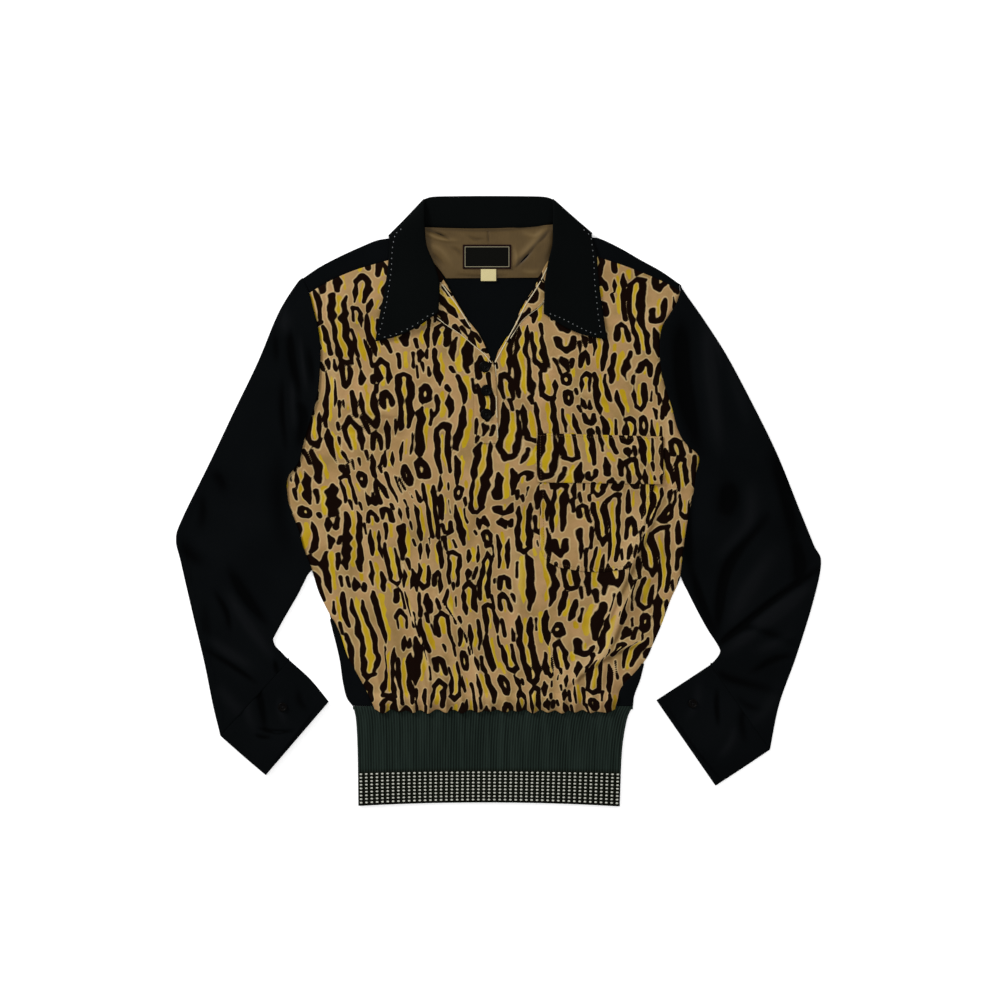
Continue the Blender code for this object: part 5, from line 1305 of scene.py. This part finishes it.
def waistband():
    kit = waistKit
    count = kit["ribs"] * kit["perRib"] + 1
    share = np.linspace(0.0, 1.0, count)
    down = np.linspace(0.0, 1.0, kit["downRows"])
    wale = 0.5 - 0.5 * np.cos(2 * np.pi * share * kit["ribs"])
    fromSide = np.minimum(share, 1 - share) * kit["across"]
    swell = np.sqrt(np.clip(1 - (1 - np.minimum(fromSide / kit["sideRound"], 1.0)) ** 2, 0, 1))
    x, y = waistPlace(share[None, :], down[:, None])
    hem = np.exp(-((1 - down[:, None]) * kit["deep"] / kit["hemRound"]) ** 2)
    grain, size, seed = kit["grain"]
    half = kit["height"] / 2
    relief = kit["ribDepth"] * wale[None, :] ** 0.8 * (1 - 0.5 * hem)
    top = half + (half + relief) * swell - 0.5 * hem * swell + grain * ripple(x, y, size, seed) * swell
    bottom = half - (half - 0.45 * (1 - wale)) * swell + 0.4 * hem * swell
    ring = np.concatenate([np.stack([x, y, top], axis=-1), np.stack([x, y, bottom], axis=-1)[:, -2:0:-1]], axis=1)
    wales = np.concatenate([wale, wale[-2:0:-1]])

    def turned(base, move, squeeze):
        return np.stack([base[:, 0], base[:, 1] + move, half + (base[:, 2] - half) * squeeze], axis=-1)

    stations = [turned(ring[0], -4.0, 0.05), turned(ring[0], 0.0, 0.7), *ring, turned(ring[-1], -0.35, 0.75),
                turned(ring[-1], 0.8, 0.5), turned(ring[-1], 30.0, 0.45), turned(ring[-1], 44.0, 0.02)]
    surface = np.array(stations)
    quads = indexQuads(numbered(*surface.shape[:2], closed=True))
    made = outward(meshPiece("ribWaistband", surface.reshape(-1, 3), quads, rib, "waistband"))
    downs = np.concatenate([[0, 0], down, [1, 1, 0.75, 0.65]])
    border = ease((downs - kit["borderTop"]) / 0.03)
    setField(made, "wale", np.tile(wales, len(stations)))
    setField(made, "border", np.repeat(border, surface.shape[1]))
    return made


waist = waistband()


def pads(name, centres, ways, long, wide, high, material):
    # small pillows of thread, all at once: long ones along their way, round at the ends, highest in the middle
    s, c = np.meshgrid(np.linspace(-1, 1, 7), np.linspace(-1, 1, 5), indexing="ij")
    spread = np.sqrt(np.clip(1 - np.abs(s) ** 3, 0, 1))
    rise = high * (1 - np.abs(c) ** 2.4) * spread - 0.25 * high
    centres, ways = np.asarray(centres, float), unit(np.asarray(ways, float))
    square = leftOf(ways)
    flat = centres[:, None, None, :2] + ways[:, None, None] * (s * long / 2)[None, ..., None]
    flat = flat + square[:, None, None] * (c * spread * wide / 2)[None, ..., None]
    z = centres[:, 2, None, None] + rise[None] - 0.02
    points = np.concatenate([flat, z[..., None]], axis=-1).reshape(-1, 3)
    one = gridQuads(7, 5)
    quads = (one[None] + (np.arange(len(centres)) * 35)[:, None, None]).reshape(-1, 4)
    return meshPiece(name, points, upward(points, quads), material)


stitchShare = (np.arange(waistKit["stitchColumns"]) + 0.55) / (waistKit["stitchColumns"] + 0.1)
stitchDown = np.linspace(*waistKit["stitchBand"], waistKit["stitchRows"])
stitchShare, stitchDown = (g.ravel() for g in np.meshgrid(stitchShare, stitchDown))
stitchX, stitchY = waistPlace(stitchShare, stitchDown)
stitchZ = waistKit["stitchZ"] + waistKit["grain"][0] * ripple(stitchX, stitchY, *waistKit["grain"][1:])
borderStitches = pads("borderStitches", np.stack([stitchX, stitchY, stitchZ], axis=-1),
                      np.tile((1.0, 0.0), (len(stitchX), 1)), *waistKit["stitchSize"], 0.55, creamThread)
print("waistband made")


# Buttons: turned discs with a rim, a dished middle, four holes and a cross of thread

buttonKit = {
    "front": [("button_1", -16.4, 161.0), ("button_2", -14.4, 132.6), ("button_3", -14.8, 104.0)],
    "cuff": [("cuff_button_left", -259.0, -247.0), ("cuff_button_right", 233.0, -243.0)],
    "radius": 6.9, "cuffRadius": 5.5, "holeAt": 0.27, "hole": 0.13, "holeDeep": 0.9, "dish": 1.35, "inner": 22,
    "round": 48, "overFront": 1.35, "cuffLevel": 4.95,
    "profile": [(0.0, 1.35), (0.45, 1.35), (0.62, 1.5), (0.72, 2.05), (0.8, 2.25), (0.88, 2.2), (0.96, 1.8),
                (1.0, 1.2), (0.97, 0.5), (0.86, 0.05), (0.0, 0.0)],
}


def button(name, x, y, low, radius, piece):
    kit = buttonKit
    inner, count, dish = kit["inner"], kit["round"], kit["dish"]
    profile = spline(np.array(kit["profile"][:-1]), 4)
    outside = profile[profile[:, 0] > 0.45]
    share = np.concatenate([np.linspace(0.02, 0.45, inner), outside[:, 0]])
    rise = np.concatenate([np.full(inner, dish), outside[:, 1]])
    angle = np.linspace(0, 2 * np.pi, count, endpoint=False)
    px = radius * share[:, None] * np.cos(angle)
    py = radius * share[:, None] * np.sin(angle)
    pz = np.repeat(rise[:, None], count, axis=1)
    middle = np.arange(len(share))[:, None] < inner
    for k in range(4):
        a = math.pi / 4 + k * math.pi / 2
        reach = radius * kit["holeAt"]
        gap = np.hypot(px - reach * math.cos(a), py - reach * math.sin(a))
        pz = pz - np.where(middle, kit["holeDeep"] * ease((radius * kit["hole"] - gap) / 0.35 + 0.5), 0.0)
    points = np.stack([x + px, y + py, low + pz], axis=-1).reshape(-1, 3)
    index = numbered(len(share), count, closed=True)
    hubs = np.array([(x, y, low + dish), (x, y, low)])
    tris = np.vstack([np.stack([index[0, :-1], index[0, 1:], np.full(count, len(points))], axis=-1),
                      np.stack([index[-1, 1:], index[-1, :-1], np.full(count, len(points) + 1)], axis=-1)])
    disc = outward(meshPiece(name, np.vstack([points, hubs]), indexQuads(index), buttonPlastic, piece, tris))
    centres = [(x, y, low + 1.25)] * 2
    return disc, pads(name + "_thread", centres, [(1.0, 1.0), (1.0, -1.0)], radius * 0.62, 0.75, 0.7, darkThread)


discs = []
for node_, x, y in buttonKit["front"]:
    low = float(frontHeight(np.array([x]), np.array([y]))[0]) + buttonKit["overFront"]
    discs.append(button(node_.replace("_", "Front"), x, y, low, buttonKit["radius"], node_))
for node_, x, y in buttonKit["cuff"]:
    discs.append(button(node_.replace("_", ""), x, y, buttonKit["cuffLevel"], buttonKit["cuffRadius"], node_))
print("buttons made")


# Sewing: pick stitches round the collar, pale folded edges at the V, partly a painted highlight along the fold, and
# stitch lines on the pocket

sewingKit = {
    "picks": [
        # left leaf: side then bottom; right leaf: side then bottom
        [(-115.6, 327.0), (-121.0, 321.6), (-123.0, 321.6), (-125.4, 312.0), (-126.6, 306.0), (-127.8, 291.6),
         (-128.4, 277.8), (-130.4, 261.6), (-133.0, 246.0), (-134.4, 236.4), (-137.2, 224.4), (-139.8, 212.4),
         (-142.2, 205.0), (-144.2, 195.6)],
        [(-76.6, 225.6), (-85.8, 221.0), (-94.2, 215.0), (-102.6, 209.6), (-110.6, 205.6), (-121.0, 201.0),
         (-132.4, 197.4), (-143.0, 195.6)],
        [(101.0, 326.0), (106.0, 321.6), (110.4, 316.8), (112.2, 307.2), (114.0, 290.4), (114.6, 277.8),
         (115.4, 261.6), (116.8, 247.2), (118.4, 233.8), (119.9, 219.8), (122.0, 206.0), (123.7, 198.7)],
        [(60.6, 224.8), (66.0, 222.6), (73.2, 220.0), (80.4, 216.6), (88.2, 212.6), (96.0, 208.6), (107.6, 203.0),
         (115.0, 200.4), (121.4, 199.0)],
    ],
    "pickPitch": (6.6, 7.2, 7.0, 5.9), "pickSize": (1.7, 1.2, 0.4),
    # pale folded edges, partly a painted highlight along the fold: places and full width
    "edges": [
        ([(-69.5, 262.0), (-60.0, 249.0), (-47.0, 230.5), (-33.5, 208.5)], 1.35),
        ([(-73.5, 219.8), (-63.0, 211.6), (-45.0, 199.6), (-27.4, 184.6), (-18.2, 177.2), (-8.6, 166.0)], 1.1),
        ([(58.6, 280.0), (52.8, 268.0), (44.0, 252.6), (32.4, 235.0), (23.2, 216.6), (11.0, 194.0),
          (-4.2, 166.2)], 1.3),
        ([(55.6, 240.6), (48.4, 232.2), (35.6, 222.8), (25.6, 212.6), (14.4, 195.0)], 1.0),
        ([(-4.0, 163.4), (-3.2, 156.0), (-3.0, 148.6)], 1.0), ([(-2.6, 126.0), (-2.4, 112.0), (-1.8, 100.0)], 1.0),
        ([(-1.6, 93.6), (-1.2, 84.0), (-0.8, 76.0)], 1.0),
    ],
    "bead": 0.55,
    # lines of small stitches: places, how far apart and how long
    "lines": [
        [(50.4, 79.0), (50.4, 52.0), (51.0, 25.0)], [(193.6, 74.6), (193.8, 50.0), (192.6, 22.6)],
        [(47.6, 78.8), (120.0, 76.4), (195.8, 74.6)], [(53.4, 20.0), (53.8, -20.0), (54.2, -48.0), (59.6, -65.6),
         (72.0, -75.6), (112.0, -80.6), (153.4, -77.2), (159.8, -66.0), (172.6, -20.0), (184.0, 18.0)],
    ],
    "pitch": 3.1, "stitch": (1.9, 0.55, 0.2),
}


def topOf(*pieces):
    # the height of the topmost of these pieces over each place, looking straight down
    trees = []
    for piece in pieces:
        work = bmesh.new()
        work.from_mesh(piece.data)
        trees.append(BVHTree.FromBMesh(work))
        work.free()

    def height(places):
        found = []
        for x, y in places:
            hits = [t.ray_cast(Vector((x * mm, y * mm, 0.05)), Vector((0, 0, -1)))[0] for t in trees]
            found.append(max([h[2] / mm for h in hits if h is not None], default=np.nan))
        return np.array(found)
    return height


def evenly(line, pitch):
    # places this far apart along a line, and the way it runs at each
    dense = spline(np.array(line), 10)
    length = lineLength(dense)
    at = np.arange(pitch * 0.3, length[-1], pitch)
    behind, places, ahead = (np.stack([np.interp(at + more, length, c) for c in dense.T], axis=-1)
                             for more in (-0.5, 0.0, 0.5))
    return places, unit(ahead - behind)


def sewn(name, lines, pitch, size, material, height):
    pitches = np.broadcast_to(pitch, len(lines))
    places, ways = (np.vstack(part) for part in zip(*(evenly(line, p) for line, p in zip(lines, pitches))))
    z = height(places)
    keep = ~np.isnan(z)
    return pads(name, np.column_stack([places, z])[keep], ways[keep], *size, material)


collarPicks = sewn("collarPicks", sewingKit["picks"], sewingKit["pickPitch"], sewingKit["pickSize"], paleThread,
                   topOf(collar))
printed = topOf(front, pocket, band, placket, lapelLeft, lapelRight)
pocketStitches = sewn("pocketStitches", sewingKit["lines"], sewingKit["pitch"], sewingKit["stitch"], tanThread,
                      printed)


def edgeBead(name, line, width, height, material):
    # a half-round strip that lies along a folded edge
    dense = spline(np.array(line), 10)
    length = lineLength(dense)
    dense = along(dense, np.linspace(0, 1, int(length[-1] / 1.6)))
    step = unit(np.gradient(dense, axis=0))
    square = leftOf(step)
    z = height(dense)
    z = np.where(np.isnan(z), np.nanmin(z), z)
    for _ in range(3):
        z[1:-1] = (z[:-2] + 2 * z[1:-1] + z[2:]) / 4
    rows = []
    for a in np.radians([180, 140, 100, 60, 20, 0]):
        level = z + sewingKit["bead"] * math.sin(a) - 0.05
        rows.append(np.column_stack([dense + square * width / 2 * math.cos(a), level]))
    points = np.array(rows).reshape(-1, 3)
    return meshPiece(name, points, upward(points, gridQuads(len(rows), len(dense))), material)


# the pale strips along the folded edges stand for the paler turned edge and a painted highlight along the fold
edges = [edgeBead("foldedEdge_%d" % number, line, width, printed, paleEdgeAndHighlight)
         for number, (line, width) in enumerate(sewingKit["edges"])]
print("sewing made")


# What each piece is: its finish and, for cloth, the flat size of what shows, listed

finishes = {
    "black_cloth": (back, turnLeft, turnRight, yokeLeft, yokeRight, sleeveLeft, sleeveRight, cuffLeft, cuffRight),
    "leopard_cloth": (front, placket, lapelLeft, lapelRight, pocket, band),
    "collar_cloth": (collar,), "satin": (facing,), "label_cloth": (label,), "tab_cloth": (tab,),
    "rib_knit": (waist,), "button": tuple(disc for disc, _ in discs),
}
for slotName, pieces in finishes.items():
    for piece in pieces:
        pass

# the cloth of what shows, as cut: width, length and area in metres, what it lies on and what is on it
cloth = [
    (back, 0.495, 0.575, 0.234, ["floor"], []),
    (front, 0.495, 0.575, 0.222, [back], [*edges, *(part for pair in discs[:3] for part in pair)]),
    (sleeveLeft, 0.36, 0.6, 0.104, ["floor"], []), (sleeveRight, 0.36, 0.6, 0.111, ["floor"], []),
    (cuffLeft, 0.236, 0.115, 0.0265, ["floor"], [*discs[3]]),
    (cuffRight, 0.25, 0.125, 0.0305, ["floor"], [*discs[4]]),
    (waist, 0.64, 0.165, 0.1056, ["floor"], [borderStitches]),
    (collar, 0.5, 0.1, 0.0375, [back, front], [collarPicks]),
    (yokeLeft, 0.145, 0.045, 0.0055, [back], []), (yokeRight, 0.145, 0.04, 0.0046, [back], []),
    (facing, 0.174, 0.066, 0.0105, [back], []), (label, 0.0576, 0.0288, None, [facing], []),
    (tab, 0.018, 0.0138, None, [facing], []), (pocket, 0.141, 0.1185, 0.0152, [front], []),
    (band, 0.152, 0.0615, 0.0093, [front, pocket], [pocketStitches]),
    (placket, 0.0285, 0.103, 0.0029, [front], []), (lapelLeft, 0.085, 0.03, 0.0023, [front], []),
    (lapelRight, 0.09, 0.018, 0.0013, [front], []), (turnLeft, 0.1, 0.025, 0.00176, [back], []),
    (turnRight, 0.055, 0.022, 0.00094, [back], []),
]
for piece, wide, long, area, under, on in cloth:
    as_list(under)
    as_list(on)


# Floor, light and camera

viewKit = {"centre": (0.0018, 0.0012), "height": 6.0, "width": 1.2}
floorLook = {
    "Base Color": (0.97, 0.97, 0.97, 1.0), "Roughness": 0.9, "Emission Color": (1.0, 1.0, 1.0, 1.0),
    "Emission Strength": 0.26,
}
floorMesh = bpy.data.meshes.new("floor")
floorMesh.from_pydata([(-4, -4, 0), (4, -4, 0), (4, 4, 0), (-4, 4, 0)], [], [(0, 1, 2, 3)])
floorMesh.materials.append(plainMaterial("paleFloor", floorLook)[0])
floor = bpy.data.objects.new("floor", floorMesh)
bpy.context.collection.objects.link(floor)

world = bpy.data.worlds.new("studio")
world.use_nodes = True
world.node_tree.nodes["Background"].inputs["Color"].default_value = (1.0, 1.0, 1.0, 1.0)
world.node_tree.nodes["Background"].inputs["Strength"].default_value = 0.5
bpy.context.scene.world = world


def areaLight(name, place, size, watts):
    # a round lamp that faces the middle of the shirt
    data = bpy.data.lights.new(name, "AREA")
    data.shape, data.size, data.energy = "DISK", size, watts
    lamp = bpy.data.objects.new(name, data)
    lamp.location = place
    lamp.rotation_euler = (Vector() - Vector(place)).to_track_quat("-Z", "Y").to_euler()
    bpy.context.collection.objects.link(lamp)


areaLight("keyLight", (-2.1, 1.9, 1.35), 0.9, 100.0)
areaLight("fillLight", (2.0, -1.4, 2.4), 2.0, 32.0)
areaLight("topLight", (0.0, 0.6, 3.4), 2.4, 18.0)

cameraData = bpy.data.cameras.new("camera")
cameraData.sensor_width = 36.0
cameraData.lens = 36.0 * viewKit["height"] / viewKit["width"]
cameraData.clip_end = 50.0
camera = bpy.data.objects.new("camera", cameraData)
camera.location = (*viewKit["centre"], viewKit["height"])
bpy.context.collection.objects.link(camera)
bpy.context.scene.camera = camera
bpy.context.scene.view_settings.view_transform = "Standard"
print("stage set")
